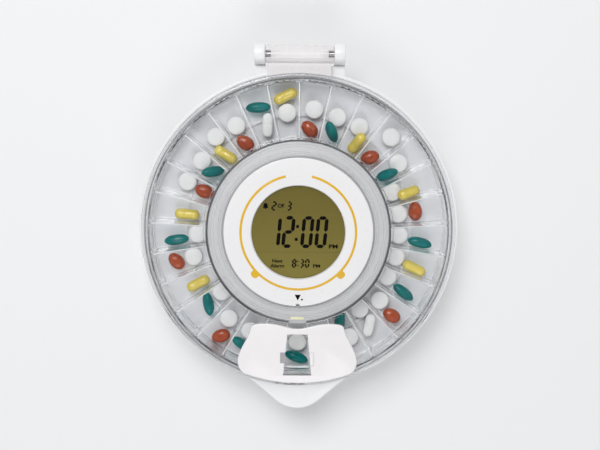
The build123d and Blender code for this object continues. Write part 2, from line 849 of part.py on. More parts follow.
def dosage_ring():
    """Clear index ring on the tray's inner wall, seen between the lid and the dial."""
    inner = dial_radius + index_ring_inner_gap
    outer = lid_opening_radius - index_ring_outer_gap
    return turned([
        (inner, tray_top - index_ring_hang),
        (tray_inner_radius - fit, tray_top - index_ring_hang),
        (tray_inner_radius - fit, tray_top),
        (pocket_inner, tray_top),
        (pocket_inner, tray_top + index_flange_rise),
        (outer, tray_top + index_flange_rise),
        (outer, tray_top + index_ring_rise),
        (inner, tray_top + index_ring_rise),
    ])


# -------------------------------------------------------------------------- lid
def window_hole(margin, bottom, top):
    inner = window_inner_half + margin
    outer = window_outer_half + margin
    return prism([(-inner, window_inner_y + margin), (inner, window_inner_y + margin),
                  (outer, window_outer_y - margin), (-outer, window_outer_y - margin)], bottom, top)


def lid_top():
    panel = ring(lid_opening_radius, lid_radius, lid_under, lid_top_height)
    panel = fillet(panel.edges().filter_by(GeomType.CIRCLE).group_by(Axis.Z)[-1].sort_by(
        SortBy.RADIUS)[-1], lid_edge_round)
    panel += ring(lid_opening_radius, lid_opening_radius + lip_width, lid_top_height - weld,
                  lid_top_height + lip_height)
    return panel - window_hole(window_frame_wall + fit, lid_under - over, lid_top_height + over)


def wall_stretch(x0, x1, bottom, top):
    """A stretch of the lid's front wall between two sides and two levels."""
    return block(x0, x1, -lid_radius - over, -lid_inner + latch_slab_room, bottom, top)


def lid_skirt():
    root_x0 = latch_outer_x - latch_root_side
    root_x1 = latch_foot_x + latch_root_side
    return ring(lid_inner, lid_radius, skirt_bottom, lid_under) - wall_stretch(
        root_x0, root_x1, skirt_bottom - over, skirt_bottom + latch_root_height)


def lid_latch():
    """Foot under the lid's front wall that the lock's finger turns over."""
    band = ring(lid_inner, lid_radius, latch_foot_bottom, skirt_bottom + latch_root_height)
    body = wall_stretch(latch_outer_x - latch_root_side, latch_foot_x + latch_root_side,
                        skirt_bottom, skirt_bottom + latch_root_height)
    body += wall_stretch(latch_outer_x, latch_inner_x, latch_foot_bottom, skirt_bottom + weld)
    body += wall_stretch(latch_outer_x, latch_foot_x, latch_foot_bottom, latch_foot_top)
    return body & band


def lid_hinge_arm():
    barrel = rod_x(barrel_radius, hinge_y, hinge_height, -barrel_half, barrel_half)
    arm_half = barrel_half - arm_inset
    arm_low = hinge_height + arm_lift
    arm = block(-arm_half, arm_half, lid_radius - arm_root, hinge_y, arm_low, arm_low + arm_thick)
    arm -= disc(lid_radius, arm_low - over, arm_low + arm_thick + over)
    body = barrel + arm
    reach = barrel_radius + over
    for side in (-1, 1):
        body -= rod_x(pin_radius + shaft_fit, hinge_y, hinge_height, side * (barrel_half + over),
                      side * (barrel_half - pin_grip - gap))
        # open notch behind each pin
        body -= block(side * (barrel_half - barrel_notch), side * (barrel_half + over),
                      hinge_y + pin_radius, hinge_y + reach, hinge_height - reach, hinge_height + reach)
    return body


def window_plate():
    """White plate on the front of the lid, with the dose window through it."""
    edge = lid_radius - plate_inset
    corner_x = plate_half_width - plate_corner_inset
    corner_y = -math.sqrt(edge ** 2 - corner_x ** 2)
    shoulder = (plate_half_width - plate_shoulder_inset, plate_shoulder_y)
    widest = (plate_half_width, plate_side_y)
    lobe = (plate_lobe_x, plate_inner_y)
    side = Spline((corner_x, corner_y), widest, shoulder, lobe, tangents=[(-corner_y, corner_x), (-1, 0)])
    face = make_face([
        Spline((-plate_lobe_x, plate_inner_y), (0, plate_waist_y), lobe, tangents=[(1, 0), (1, 0)]),
        side,
        ThreePointArc((corner_x, corner_y), (0, -edge), (-corner_x, corner_y)),
        mirror(side, about=Plane.YZ),
    ])
    level = lid_top_height
    top = level + plate_thick
    plate = Pos(0, 0, level) * extrude(face, plate_thick)
    plate -= block(-window_notch_half, window_notch_half, window_notch_low_y, window_notch_high_y,
                   level + window_notch_floor, top + over)
    # the rim of the window goes down through the panel
    plate += window_hole(window_frame_wall, lid_under, level + weld)
    return plate - window_hole(0, lid_under - over, top + over)


# ------------------------------------------------------------------------- lock
def lock_barrel():
    body = rod_y(lock_barrel_radius, 0, lock_height, lock_face_y, cam_front_y - weld)
    body += rod_y(barrel_flange_radius, 0, lock_height, lock_face_y - barrel_flange_thick, lock_face_y)
    body -= rod_y(lock_core_radius + shaft_fit, 0, lock_height, -body_reach, cam_front_y)
    return body


def lock_core():
    front = lock_face_y - barrel_flange_thick - lock_core_proud
    core = rod_y(lock_core_radius, 0, lock_height, front, cam_front_y)
    core -= block(-keyway_width / 2, keyway_width / 2, front - over, front + keyway_depth,
                  lock_height - keyway_height / 2, lock_height + keyway_height / 2)
    core -= rod_y(cam_screw_radius, 0, lock_height, cam_front_y - cam_screw_length, cam_front_y + over)
    return core


def lock_cam():
    """Finger behind the lock. It stands upright when open, and turns over the latch."""
    cam = rod_y(cam_hub_radius, 0, lock_height, cam_front_y, cam_back_y)
    cam += block(-cam_half_width, cam_half_width, cam_front_y, cam_back_y,
                 lock_height, lock_height + cam_reach)
    cam -= rod_y(cam_screw_radius, 0, lock_height, cam_front_y - over, cam_back_y + over)
    return cam


def cam_screw():
    head = rod_y(cam_screw_head_radius, 0, lock_height, cam_back_y, cam_back_y + cam_screw_head_thick)
    return head + rod_y(cam_screw_radius, 0, lock_height, cam_front_y - cam_screw_length + weld,
                        cam_back_y + gap)


# -------------------------------------------------------------- power and buttons
def cell_places():
    first = -(cell_count - 1) * cell_pitch / 2
    return [first + i * cell_pitch for i in range(cell_count)]


def battery_box():
    outer_x = bay_half_x + bay_wall
    outer_y = bay_half_y + bay_wall
    box = block(-outer_x, outer_x, bay_centre_y - outer_y, bay_centre_y + outer_y, cover_top, deck_bottom)
    box -= block(-bay_half_x, bay_half_x, bay_centre_y - bay_half_y, bay_centre_y + bay_half_y,
                 cover_top - over, cell_axis_z + cell_radius + fit)
    return box


def battery_cells():
    """Four AA cells, side by side, every second one turned round."""
    cells = []
    for i, x in enumerate(cell_places()):
        way = 1 if i % 2 == 0 else -1
        body_end = way * cell_length / 2
        cell = rod_y(cell_radius, x, cell_axis_z, bay_centre_y - body_end, bay_centre_y + body_end)
        nub_end = bay_centre_y + way * (cell_length / 2 + cell_nub_length)
        cell += rod_y(cell_nub_radius, x, cell_axis_z, bay_centre_y + body_end - way, nub_end)
        cells.append(cell)
    return solids_of(cells)


def battery_contacts():
    """Sprung plate at each end of each cell, against the ends of the bay."""
    plates = []
    half = contact_size / 2
    for i, x in enumerate(cell_places()):
        for way in (-1, 1):
            wall = bay_centre_y + way * bay_half_y
            face = wall - way * contact_thick
            plate = block(x - half, x + half, face, wall, cell_axis_z - half, cell_axis_z + half)
            nub_way = 1 if i % 2 == 0 else -1
            reach = cell_length / 2 + (cell_nub_length if nub_way == way else 0)
            cell_end = bay_centre_y + way * reach
            plate += rod_y(contact_spring_radius, x, cell_axis_z, cell_end, face)
            plates.append(plate)
    return solids_of(plates)


def battery_door():
    plate = block(-door_half_x, door_half_x, bay_centre_y - door_half_y, bay_centre_y + door_half_y,
                  door_bottom, door_top)
    tongue_x = door_half_x + door_tongue
    plate += block(-tongue_x, tongue_x, bay_centre_y - door_half_y, bay_centre_y + door_half_y,
                   door_top - door_tongue_thick, door_top)
    for i in range(door_grip_count):
        y = bay_centre_y + door_half_y - (i + 2) * door_grip_pitch
        plate -= block(-door_grip_half, door_grip_half, y - door_grip_cut, y + door_grip_cut,
                       door_bottom - over, door_bottom + door_grip_cut)
    return plate


def button_places():
    first = -(button_count - 1) * button_pitch / 2
    return [first + i * button_pitch for i in range(button_count)]


def set_button(x):
    cap = rod_z(button_radius, x, button_row_y, button_bottom, button_top)
    cap = chamfer(cap.faces().sort_by(Axis.Z)[0].edges(), button_bevel)
    flange_low = cover_top + fit
    return cap + rod_z(button_radius + button_flange, x, button_row_y, flange_low,
                       flange_low + button_flange_thick)


def button_board():
    half = button_board_width / 2
    return block(-button_board_half, button_board_half, button_row_y - half, button_row_y + half,
                 button_board_bottom, button_board_top)


def button_switches():
    half = button_switch_size / 2
    switches = []
    for x in button_places():
        body = block(x - half, x + half, button_row_y - half, button_row_y + half,
                     switch_bottom + button_plunger_height, button_board_bottom)
        body += rod_z(button_plunger_radius, x, button_row_y, switch_bottom, button_board_bottom)
        switches.append(body)
    return solids_of(switches)


# ------------------------------------------------------------------------ pills
def tablet():
    body = Cylinder(tablet_radius, tablet_thick)
    return fillet(body.edges().filter_by(GeomType.CIRCLE), tablet_round_share * pocket_length)


def capsule():
    """Cylinder with domed ends, turned about its own long axis."""
    end = capsule_length / 2
    straight = end - capsule_radius
    dome = capsule_radius * math.sin(math.radians(45))
    edges = [
        Line((-end, 0), (end, 0)),
        ThreePointArc((end, 0), (straight + dome, dome), (straight, capsule_radius)),
        Line((straight, capsule_radius), (-straight, capsule_radius)),
        ThreePointArc((-straight, capsule_radius), (-straight - dome, dome), (-end, 0)),
    ]
    return revolve(make_face(edges), Axis.X)


def flat_pill(length, width, thick, rounding):
    """Pill with a slot-shaped outline and rounded edges."""
    outline = SlotOverall(length, width)
    return Pos(0, 0, -thick / 2) * fillet(extrude(outline, thick).edges(), rounding)


def in_room(radius, side, turn, end_radius, end_reach):
    """Where a pill lies once both its round ends clear the walls of its pocket."""
    half_pitch = math.radians(pitch_angle / 2)
    along = end_reach * math.cos(math.radians(turn))
    across = end_reach * math.sin(math.radians(turn))
    radius = max(radius, pocket_inner + end_radius + pill_gap + abs(along))
    lowest = -pocket_outer
    highest = pocket_outer
    for way in (-1, 1):
        room = (radius + way * along) * math.tan(half_pitch)
        room -= (divider_thick / 2 + end_radius + pill_gap) / math.cos(half_pitch)
        lowest = max(lowest, -room - way * across)
        highest = min(highest, room - way * across)
    return radius, min(max(side, lowest), highest)


def pills(shape, places, half_height, end_radius, end_reach):
    """Pills of one kind, drawn along X round the origin, each laid on its pocket's floor."""
    laid = []
    for pocket, along, side, turn, lean in places:
        x, y = in_room(pocket_inner + along / 100 * pocket_length, side / 100 * pocket_length, turn,
                       end_radius, end_reach)
        height = pocket_floor + pill_lift + half_height + end_reach * math.sin(math.radians(abs(lean)))
        placed = Pos(x, y, height) * Rot(0, 0, turn) * Rot(0, lean, 0) * shape
        laid.append(at(pocket_angle(pocket), placed))
    return solids_of(laid)


# pocket, place along it and sideways in hundredths of its length, turn from its middle line, lean
tablet_places = [
    (0, 48, 0, 0, 0), (2, 59, 3, 0, 0), (3, 23, 1, 0, 0), (4, 36, -3, 0, 0), (5, 22, 0, 0, 0),
    (6, 21, -1, 0, 0), (7, 19, 0, 0, 0), (8, 19, -1, 0, 0), (9, 18, 1, 0, 0),
    (10, 52, -1, 0, 0), (11, 71, -5, 0, 0), (12, 50, 3, 0, 0), (13, 49, 0, 0, 0),
    (14, 53, -3, 0, 0), (15, 46, -1, 0, 0), (17, 53, 1, 0, 0), (18, 59, -5, 0, 0),
    (19, 49, -3, 0, 0), (20, 54, -4, 0, 0), (22, 19, 1, 0, 0), (23, 34, 0, 0, 0),
    (25, 19, -1, 0, 0), (26, 46, 1, 0, 0), (27, 46, 1, 0, 0),
]
caplet_places = [(16, 31, -6, -20, 0), (3, 58, -3, -50, 0)]
teal_places = [
    (0, 76, -3, 70, 0), (2, 23, -1, -30, 0), (5, 61, -12, -10, 0), (7, 58, -12, -10, 0),
    (10, 23, -6, -10, -28), (13, 21, 1, 40, -28), (16, 66, 0, 75, 0), (19, 21, 1, 40, -28),
    (22, 58, 10, 5, 0), (25, 52, 1, 60, 0), (27, 75, -1, 80, 0),
]
yellow_places = [
    (6, 59, -12, -10, 0), (9, 45, -10, -5, 28), (12, 23, -8, -5, -28), (15, 76, -1, -70, 0),
    (18, 23, 4, 15, 0), (21, 39, 8, 5, 0), (24, 45, 5, 0, 0),
]
softgel_places = [
    (4, 71, -10, 10, 0), (8, 50, -1, 85, 0), (11, 18, -3, -30, 0), (14, 17, 1, 50, 0),
    (17, 18, 3, 25, 0), (20, 19, 1, 0, 0), (23, 66, 0, -60, 0), (26, 81, 9, -35, 0),
]


# ------------------------------------------------------------------- write it out
os.makedirs("parts", exist_ok=True)

save("base_shell", base_shell())
save("nose_housing", nose_housing())
save("hinge_bracket", hinge_bracket())
save("hinge_pins", hinge_pins())
save("bottom_cover", bottom_cover())
save("rubber_feet", rubber_feet())
save("cover_screws", cover_screws())
save("inner_deck", inner_deck())
save("deck_screws", deck_screws())
save("hub_housing", hub_housing())
save("dial_plate", dial_plate())
save("dial_ring", dial_ring())
save("dose_pointer", dose_pointer())
save("lcd_lens", lcd_lens())
save("lcd_panel", lcd_panel())
save("lcd_carrier", lcd_carrier())
save("main_board", main_board())
save("board_parts", board_parts())
save("buzzer", buzzer())
save("tilt_switch", tilt_switch())
save("index_switch", index_switch())
save("motor_bracket", motor_bracket())
save("gear_motor", gear_motor())
save("drive_gear", drive_gear())
save("drive_shaft", drive_shaft())
save("tray_ring_gear", tray_ring_gear())
save("tray_floor", tray_floor())
save("tray_outer_wall", tray_outer_wall())
save("tray_inner_wall", tray_inner_wall())
save("tray_dividers", tray_dividers())
save("dosage_ring", dosage_ring())
save("lid_top", lid_top())
save("lid_skirt", lid_skirt())
save("lid_latch", lid_latch())
save("lid_hinge_arm", lid_hinge_arm())
save("window_plate", window_plate())
save("lock_barrel", lock_barrel())
save("lock_core", lock_core())
save("lock_cam", lock_cam())
save("cam_screw", cam_screw())
save("battery_box", battery_box())
save("battery_cells", battery_cells())
save("battery_contacts", battery_contacts())
save("battery_door", battery_door())
save("button_board", button_board())
save("button_switches", button_switches())
for number, place in enumerate(button_places(), start=1):
    save("set_button_%d" % number, set_button(place))
capsule_end = capsule_length / 2 - capsule_radius
caplet_end = (caplet_length - caplet_width) / 2
softgel_end = (softgel_long - softgel_wide) / 2
caplet = flat_pill(caplet_length, caplet_width, caplet_thick, caplet_round_share * pocket_length)
softgel = flat_pill(softgel_long, softgel_wide, softgel_thick,
                    softgel_thick / 2 - softgel_flat_share * pocket_length)
save("pill_tablets", pills(tablet(), tablet_places, tablet_thick / 2, tablet_radius, 0))
save("pill_caplets", pills(caplet, caplet_places, caplet_thick / 2, caplet_width / 2, caplet_end))
save("pill_teal_capsules", pills(capsule(), teal_places, capsule_radius, capsule_radius, capsule_end))
save("pill_yellow_capsules", pills(capsule(), yellow_places, capsule_radius, capsule_radius, capsule_end))
save("pill_softgels", pills(softgel, softgel_places, softgel_thick / 2, softgel_wide / 2, softgel_end))
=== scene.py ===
import json
import math
import random

import bmesh
import bpy
import numpy as np
from mathutils import Matrix, Vector

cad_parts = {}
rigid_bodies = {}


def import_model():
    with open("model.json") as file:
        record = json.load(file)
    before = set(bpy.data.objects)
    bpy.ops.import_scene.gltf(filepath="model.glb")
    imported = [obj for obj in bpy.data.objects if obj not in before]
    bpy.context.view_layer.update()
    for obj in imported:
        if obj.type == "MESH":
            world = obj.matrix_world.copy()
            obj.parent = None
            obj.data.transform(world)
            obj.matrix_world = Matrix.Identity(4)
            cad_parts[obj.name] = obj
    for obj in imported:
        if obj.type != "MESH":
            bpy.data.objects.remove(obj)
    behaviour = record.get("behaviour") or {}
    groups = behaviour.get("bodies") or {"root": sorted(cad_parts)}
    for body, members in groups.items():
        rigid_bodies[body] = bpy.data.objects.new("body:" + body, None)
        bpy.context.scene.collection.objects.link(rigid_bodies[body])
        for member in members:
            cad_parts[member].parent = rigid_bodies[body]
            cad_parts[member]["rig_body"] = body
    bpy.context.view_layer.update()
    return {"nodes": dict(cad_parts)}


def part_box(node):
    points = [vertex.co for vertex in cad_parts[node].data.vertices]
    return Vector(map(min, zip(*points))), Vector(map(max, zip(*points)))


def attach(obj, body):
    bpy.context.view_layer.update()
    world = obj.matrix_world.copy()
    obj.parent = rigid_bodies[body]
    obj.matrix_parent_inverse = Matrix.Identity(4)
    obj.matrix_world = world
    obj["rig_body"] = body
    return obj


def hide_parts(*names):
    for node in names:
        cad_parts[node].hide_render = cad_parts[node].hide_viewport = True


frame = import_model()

mm = 0.001
random.seed(29)

# The dispenser is built round the tray's axis, which is the frame's Z axis.
# Sizes in the settings are millimetres and angles are degrees, 0 along +X.


# the box of a CAD node, in millimetres
def nodeBox(node):
    lo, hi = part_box(node)
    return lo / mm, hi / mm


def polar(angle, radius):
    turn = math.radians(angle)
    return radius * math.cos(turn), radius * math.sin(turn)


def circle(count):
    return [360 * i / count for i in range(count)]


def turned(angle):
    return Matrix.Rotation(math.radians(angle), 4, "Z")


def newObject(name, data):
    made = bpy.data.objects.new(name, data)
    bpy.context.scene.collection.objects.link(made)
    return made


# points and faces gathered for one piece, in millimetres
class Shape:
    def __init__(self, verts=(), faces=()):
        self.verts = [Vector(v) for v in verts]
        self.faces = [list(f) for f in faces]

    def add(self, other, place=Matrix.Identity(4)):
        start = len(self.verts)
        self.verts += [place @ v for v in other.verts]
        self.faces += [[start + i for i in f] for f in other.faces]
        return self

    def mesh(self, name):
        made = bpy.data.meshes.new(name)
        made.from_pydata([tuple(v * mm) for v in self.verts], [], self.faces)
        made.validate()
        tidyMesh(made)
        return made


# joins points that meet and turns every face outwards
def tidyMesh(mesh, weld=1e-6):
    bm = bmesh.new()
    bm.from_mesh(mesh)
    bmesh.ops.remove_doubles(bm, verts=bm.verts, dist=weld)
    bmesh.ops.dissolve_degenerate(bm, edges=bm.edges, dist=weld)
    bmesh.ops.recalc_face_normals(bm, faces=bm.faces)
    bm.to_mesh(mesh)
    bm.free()


# a finished piece; its slot comes with its finish, and faces that meet at more than crease stay sharp
def newPiece(name, shape, body, finish, standsFor=(), crease=38):
    mesh = shape if isinstance(shape, bpy.types.Mesh) else shape.mesh(name)
    mesh.name = name
    mesh.materials.clear()
    mesh.materials.append(finishes[finish])
    mesh.shade_smooth()
    mesh.set_sharp_from_angle(angle=math.radians(crease))
    piece = newObject(name, mesh)
    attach(piece, body)
    if standsFor:
        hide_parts(*standsFor)


# a mesh with other closed shapes taken away from it
def carved(shape, cutters):
    block = newObject("carvedBlank", shape.mesh("carvedBlank"))
    spares = [block]
    for cutter in cutters:
        tool = newObject("cutter", cutter if isinstance(cutter, bpy.types.Mesh) else cutter.mesh("cutter"))
        step = block.modifiers.new("cut", "BOOLEAN")
        step.operation = "DIFFERENCE"
        step.solver = "EXACT"
        step.object = tool
        spares.append(tool)
    bpy.context.view_layer.update()
    graph = bpy.context.evaluated_depsgraph_get()
    result = bpy.data.meshes.new_from_object(block.evaluated_get(graph))
    for spare in spares:
        mesh = spare.data
        bpy.data.objects.remove(spare)
        bpy.data.meshes.remove(mesh)
    tidyMesh(result)
    return result


def rect(x0, x1, y0, y1):
    return [(x0, y0), (x1, y0), (x1, y1), (x0, y1)]


def disc(x, y, radius, sides):
    return [(x + across, y + up) for across, up in [polar(a, radius) for a in circle(sides)]]


# a closed outline with its corners rounded
def roundCorners(points, radii, steps=4):
    done = []
    for i, corner in enumerate(points):
        radius = radii[i] if isinstance(radii, (list, tuple)) else radii
        here = Vector(corner)
        if radius <= 0:
            done.append(here)
            continue
        before = Vector(points[i - 1]) - here
        after = Vector(points[(i + 1) % len(points)]) - here
        reach = min(radius, before.length * 0.49, after.length * 0.49)
        a = here + before.normalized() * reach
        b = here + after.normalized() * reach
        for t in [s / steps for s in range(steps + 1)]:
            done.append(a * (1 - t) ** 2 + here * 2 * t * (1 - t) + b * t ** 2)
    return done


# turns a closed (radius, height) outline about Z; bend may shift a point by its angle
def lathe(profile, angles, bend=None):
    rows = len(profile)
    verts, faces = [], []
    for angle in angles:
        for radius, height in profile:
            if bend:
                radius, height = bend(angle, radius, height)
            verts.append((*polar(angle, radius), height))
    for i in range(len(angles)):
        here, there = i * rows, (i + 1) % len(angles) * rows
        for k in range(rows):
            n = (k + 1) % rows
            faces.append((here + k, there + k, there + n, here + n))
    return Shape(verts, faces)


# bridges closed loops of equal length in order
def skin(loops, capStart=True):
    count, last = len(loops[0]), len(loops) - 1
    faces = []
    for j in range(last):
        for i in range(count):
            n = (i + 1) % count
            faces.append((j * count + i, j * count + n, (j + 1) * count + n, (j + 1) * count + i))
    if capStart:
        faces.append(range(count))
    faces.append(range(last * count, (last + 1) * count))
    return Shape([p for loop in loops for p in loop], faces)


# moves a closed flat loop inwards along its own normals
def inset(loop, distance):
    area = sum(a[0] * b[1] - b[0] * a[1] for a, b in zip(loop, loop[1:] + loop[:1]))
    side = 1 if area > 0 else -1
    moved = []
    for i, here in enumerate(loop):
        at = Vector(here[:2])
        one = at - Vector(loop[i - 1][:2])
        two = Vector(loop[(i + 1) % len(loop)][:2]) - at
        along = (one.normalized() + two.normalized()).normalized()
        moved.append(at + Vector((-along.y, along.x)) * side * distance)
    return moved


def lifted(loop, height):
    return [(p[0], p[1], height) for p in loop]


# (shrink, height) steps at a level whose edge is rounded
def edgeSteps(edge, level, way):
    steps = [(edge, level), (edge * 0.3, level + way * edge * 0.3), (0, level + way * edge)]
    return steps if edge else steps[2:]


def levels(low, high, lowEdge, highEdge):
    return edgeSteps(lowEdge, low, 1) + edgeSteps(highEdge, high, -1)[::-1]


# upright piece on an outline, with its top and bottom edges rounded
def slab(outline, low, high, edge, lowEdge=None):
    steps = levels(low, high, edge if lowEdge is None else lowEdge, edge)
    return skin([lifted(inset(outline, d) if d else outline, z) for d, z in steps])


def roundedBox(x0, x1, y0, y1, z0, z1, corner, edge):
    return slab(roundCorners(rect(x0, x1, y0, y1), corner), z0, z1, edge)


# plain straight-sided form on an outline
def prism(outline, low, high):
    return skin([lifted(outline, low), lifted(outline, high)])


# (station, radius) pairs turned about an axis along X, closed at both ends
def turnedAlong(profile, sides=48):
    return skin([[(station, *polar(a, radius)) for a in circle(sides)] for station, radius in profile])


def rodAlongX(radius, y, z, *ends):
    rod = turnedAlong([(x, radius) for x in sorted(ends)])
    return Shape().add(rod, Matrix.Translation((0, y, z)))


def rodAlongY(radius, x, z, y0, y1):
    rod = turnedAlong([(y0, radius), (y1, radius)], 64)
    return Shape().add(rod, Matrix.Translation((x, 0, z)) @ turned(90))


# longest outline of a CAD node's flat top at one level, in millimetres
def topOutline(node, height, reach=2e-5):
    mesh = frame["nodes"][node].data
    spots = [v.co for v in mesh.vertices]
    edges = {}          # directed edges, in the order in which they are met
    for face in mesh.polygons:
        if face.normal.z > 0.9 and all(abs(spots[i].z - height * mm) <= reach for i in face.vertices):
            ring = [(round(spots[i].x, 6), round(spots[i].y, 6)) for i in face.vertices]
            edges.update(dict.fromkeys(zip(ring, ring[1:] + ring[:1])))
    following = {a: b for a, b in edges if (b, a) not in edges}
    loops = []
    while following:
        first, here = following.popitem()
        loop = [first]
        while here != first and here in following:
            loop.append(here)
            here = following.pop(here)
        loops.append([(x / mm, y / mm) for x, y in loop])
    return max(loops, key=lambda l: sum((Vector(a) - Vector(b)).length for a, b in zip(l, l[1:])))


# sets a node's sockets, each to a value or to what another node gives
def setSockets(node, values):
    for name, value in values.items():
        if isinstance(value, bpy.types.NodeSocket):
            node.id_data.links.new(value, node.inputs[name])
        else:
            node.inputs[name].default_value = value


def nodeOf(tree, kind, x, y, sockets, **settings):
    made = tree.nodes.new(kind)
    made.location = (x, y)
    for name, value in settings.items():
        setattr(made, name, value)
    setSockets(made, sockets)
    return made


finishes, slotOf = {}, {}


# a new finish, kept by its name with the slot that its pieces take
def startMaterial(name, slot):
    finish = bpy.data.materials.new(name)
    finishes[name], slotOf[name] = finish, slot
    finish.use_nodes = True
    tree = finish.node_tree
    tree.nodes.clear()
    shader = nodeOf(tree, "ShaderNodeBsdfPrincipled", 350, 0, {})
    out = nodeOf(tree, "ShaderNodeOutputMaterial", 700, 0, {"Surface": shader.outputs["BSDF"]})
    place = nodeOf(tree, "ShaderNodeTexCoord", -1000, 0, {}).outputs["Object"]
    return tree, shader, place, out


def grainOf(tree, place, scale, detail, y):
    grain = nodeOf(tree, "ShaderNodeTexNoise", -750, y, {"Scale": scale, "Detail": detail, "Vector": place})
    return grain.outputs["Fac"]


def spread(tree, source, low, high, y, fromLow=0.3, fromHigh=0.7):
    ramp = {"From Min": fromLow, "From Max": fromHigh, "To Min": low, "To Max": high, "Value": source}
    return nodeOf(tree, "ShaderNodeMapRange", -450, y, ramp).outputs["Result"]


def bumpOf(tree, source, strength, depth):
    bump = {"Strength": strength, "Distance": depth * mm, "Height": source}
    return nodeOf(tree, "ShaderNodeBump", 50, -260, bump).outputs["Normal"]


# lets lamps through in a colour, so that what lies behind is not in full shadow
def letThrough(tree, shader, out, colour, share=1.0, diffuseToo=False):
    passing = nodeOf(tree, "ShaderNodeBsdfTransparent", 350, 250, {"Color": (*colour, 1)})
    rays = nodeOf(tree, "ShaderNodeLightPath", 100, 600, {}).outputs
    factor = nodeOf(tree, "ShaderNodeMath", 350, 500,
                    {0: rays["Is Shadow Ray"], 1: rays["Is Diffuse Ray"] if diffuseToo else share},
                    operation="MAXIMUM" if diffuseToo else "MULTIPLY")
    mix = nodeOf(tree, "ShaderNodeMixShader", 560, 200,
                 {0: factor.outputs[0], 1: shader.outputs["BSDF"], 2: passing.outputs["BSDF"]})
    setSockets(out, {"Surface": mix.outputs["Shader"]})


# plastic, metal, rubber, ink or gel: faint mottling, uneven gloss from handling and a fine surface grain
def moulded(name, slot, colour, shade, rough, mottle=38, grain=2200, bump=0.06, metal=0.0, coat=0.0, soft=0.0,
            ior=1.46, paintedShadeSpan=None, glow=None, glowShare=0.5):
    tree, shader, place, out = startMaterial(name, slot)
    if glow:        # it lets a share of the lamps through, in this colour
        letThrough(tree, shader, out, glow, glowShare)
    # painted shade: the colour runs into the second one across the piece, front to back
    if paintedShadeSpan:        # from one colour to the other across the piece, front to back
        parts = nodeOf(tree, "ShaderNodeSeparateXYZ", -750, 260, {0: place})
        tone = spread(tree, parts.outputs["Y"], 0.0, 1.0, 260, *paintedShadeSpan)
    else:
        tone = spread(tree, grainOf(tree, place, mottle, 3.0, 260), 0.0, 1.0, 260)
    mix = nodeOf(tree, "ShaderNodeMix", -200, 260, {}, data_type="RGBA")
    setSockets(mix, {0: tone, 6: (*colour, 1), 7: (*shade, 1)})         # 6 and 7 are its two colours
    setSockets(shader, {
        "Base Color": mix.outputs[2],
        "Roughness": spread(tree, grainOf(tree, place, 160, 8.0, 0), rough - 0.06, rough + 0.06, 0),
        "Normal": bumpOf(tree, grainOf(tree, place, grain, 2.0, -260), bump, 0.12),
        "Metallic": metal, "Coat Weight": coat, "Coat Roughness": 0.08, "Subsurface Weight": soft,
        "Subsurface Radius": (0.002, 0.002, 0.002), "Subsurface Scale": 0.5, "IOR": ior})


# thick clear plastic with faint flow lines and scuffs, which lets the lamps through
def thickClear(name, slot, colour, rough, bump=0.05, through=1.0, passing=(0.93, 0.94, 0.95)):
    tree, shader, place, out = startMaterial(name, slot)
    setSockets(shader, {
        "Base Color": (*colour, 1), "Transmission Weight": through, "IOR": 1.49,
        "Roughness": spread(tree, grainOf(tree, place, 420, 8.0, 0), rough * 0.4, rough * 1.8, 0),
        "Normal": bumpOf(tree, grainOf(tree, place, 30, 3.0, -260), bump, 0.4)})
    letThrough(tree, shader, out, passing, diffuseToo=True)


# thin clear part that glints and covers what lies behind it by a share
def thinClear(name, slot, colour, rough, cover):
    tree, shader, place, out = startMaterial(name, slot)
    setSockets(shader, {
        "Base Color": (*colour, 1), "Alpha": cover,
        "Roughness": spread(tree, grainOf(tree, place, 300, 8.0, 0), rough * 0.5, rough * 1.5, 0)})


moulded("whitePlastic", "white_plastic", (0.86, 0.86, 0.865), (0.83, 0.83, 0.84), 0.34, coat=0.15)
moulded("dialWhite", "white_plastic", (0.84, 0.83, 0.83), (0.82, 0.81, 0.815), 0.3, coat=0.2, bump=0.03)
moulded("plateWhite", "white_plastic", (0.86, 0.835, 0.835), (0.84, 0.815, 0.82), 0.32, coat=0.2, bump=0.03,
        glow=(0.95, 0.95, 0.95), glowShare=0.95)
moulded("innerWhite", None, (0.91, 0.912, 0.92), (0.88, 0.882, 0.895), 0.42)
moulded("yellowInk", "yellow_ink", (0.76, 0.46, 0.025), (0.70, 0.41, 0.02), 0.42, mottle=300)
moulded("paleYellow", "yellow_ink", (0.80, 0.78, 0.50), (0.74, 0.72, 0.45), 0.4, mottle=200)
moulded("blackInk", "black_ink", (0.003, 0.003, 0.003), (0.006, 0.005, 0.004), 0.6, mottle=400, ior=1.08)
# the display's olive is painted darker towards the back: painted shade
moulded("lcdOlive", "lcd_glass", (0.27, 0.225, 0.055), (0.17, 0.137, 0.030), 0.38, bump=0.01, ior=1.25,
        paintedShadeSpan=(-0.034, 0.036))
moulded("lcdLine", "lcd_glass", (0.17, 0.135, 0.03), (0.15, 0.12, 0.026), 0.5, mottle=300)
moulded("blackPlastic", None, (0.025, 0.025, 0.027), (0.04, 0.04, 0.042), 0.45)
moulded("greyPlastic", None, (0.36, 0.37, 0.385), (0.32, 0.33, 0.345), 0.4)
# grey painted shade, for the gap round the dial, the window's inside walls and the notch floor
moulded("shadeGrey", "grey_plastic", (0.40, 0.40, 0.41), (0.34, 0.34, 0.35), 0.5)
# near black painted shade for the gap round the lid's opening
moulded("gapShadeGrey", "clear_plastic", (0.11, 0.11, 0.12), (0.08, 0.08, 0.09), 0.45)
moulded("acetal", None, (0.78, 0.76, 0.70), (0.72, 0.70, 0.63), 0.36, soft=0.2)
moulded("softRubber", None, (0.055, 0.055, 0.06), (0.085, 0.082, 0.08), 0.72, bump=0.3, grain=1400)
moulded("boardGreen", None, (0.012, 0.10, 0.04), (0.02, 0.15, 0.06), 0.35, mottle=700, coat=0.3)
moulded("brightSteel", None, (0.56, 0.56, 0.57), (0.46, 0.46, 0.48), 0.28, metal=1.0, grain=3000)
moulded("nickelPlate", None, (0.66, 0.64, 0.60), (0.58, 0.56, 0.53), 0.18, metal=1.0, grain=3000)
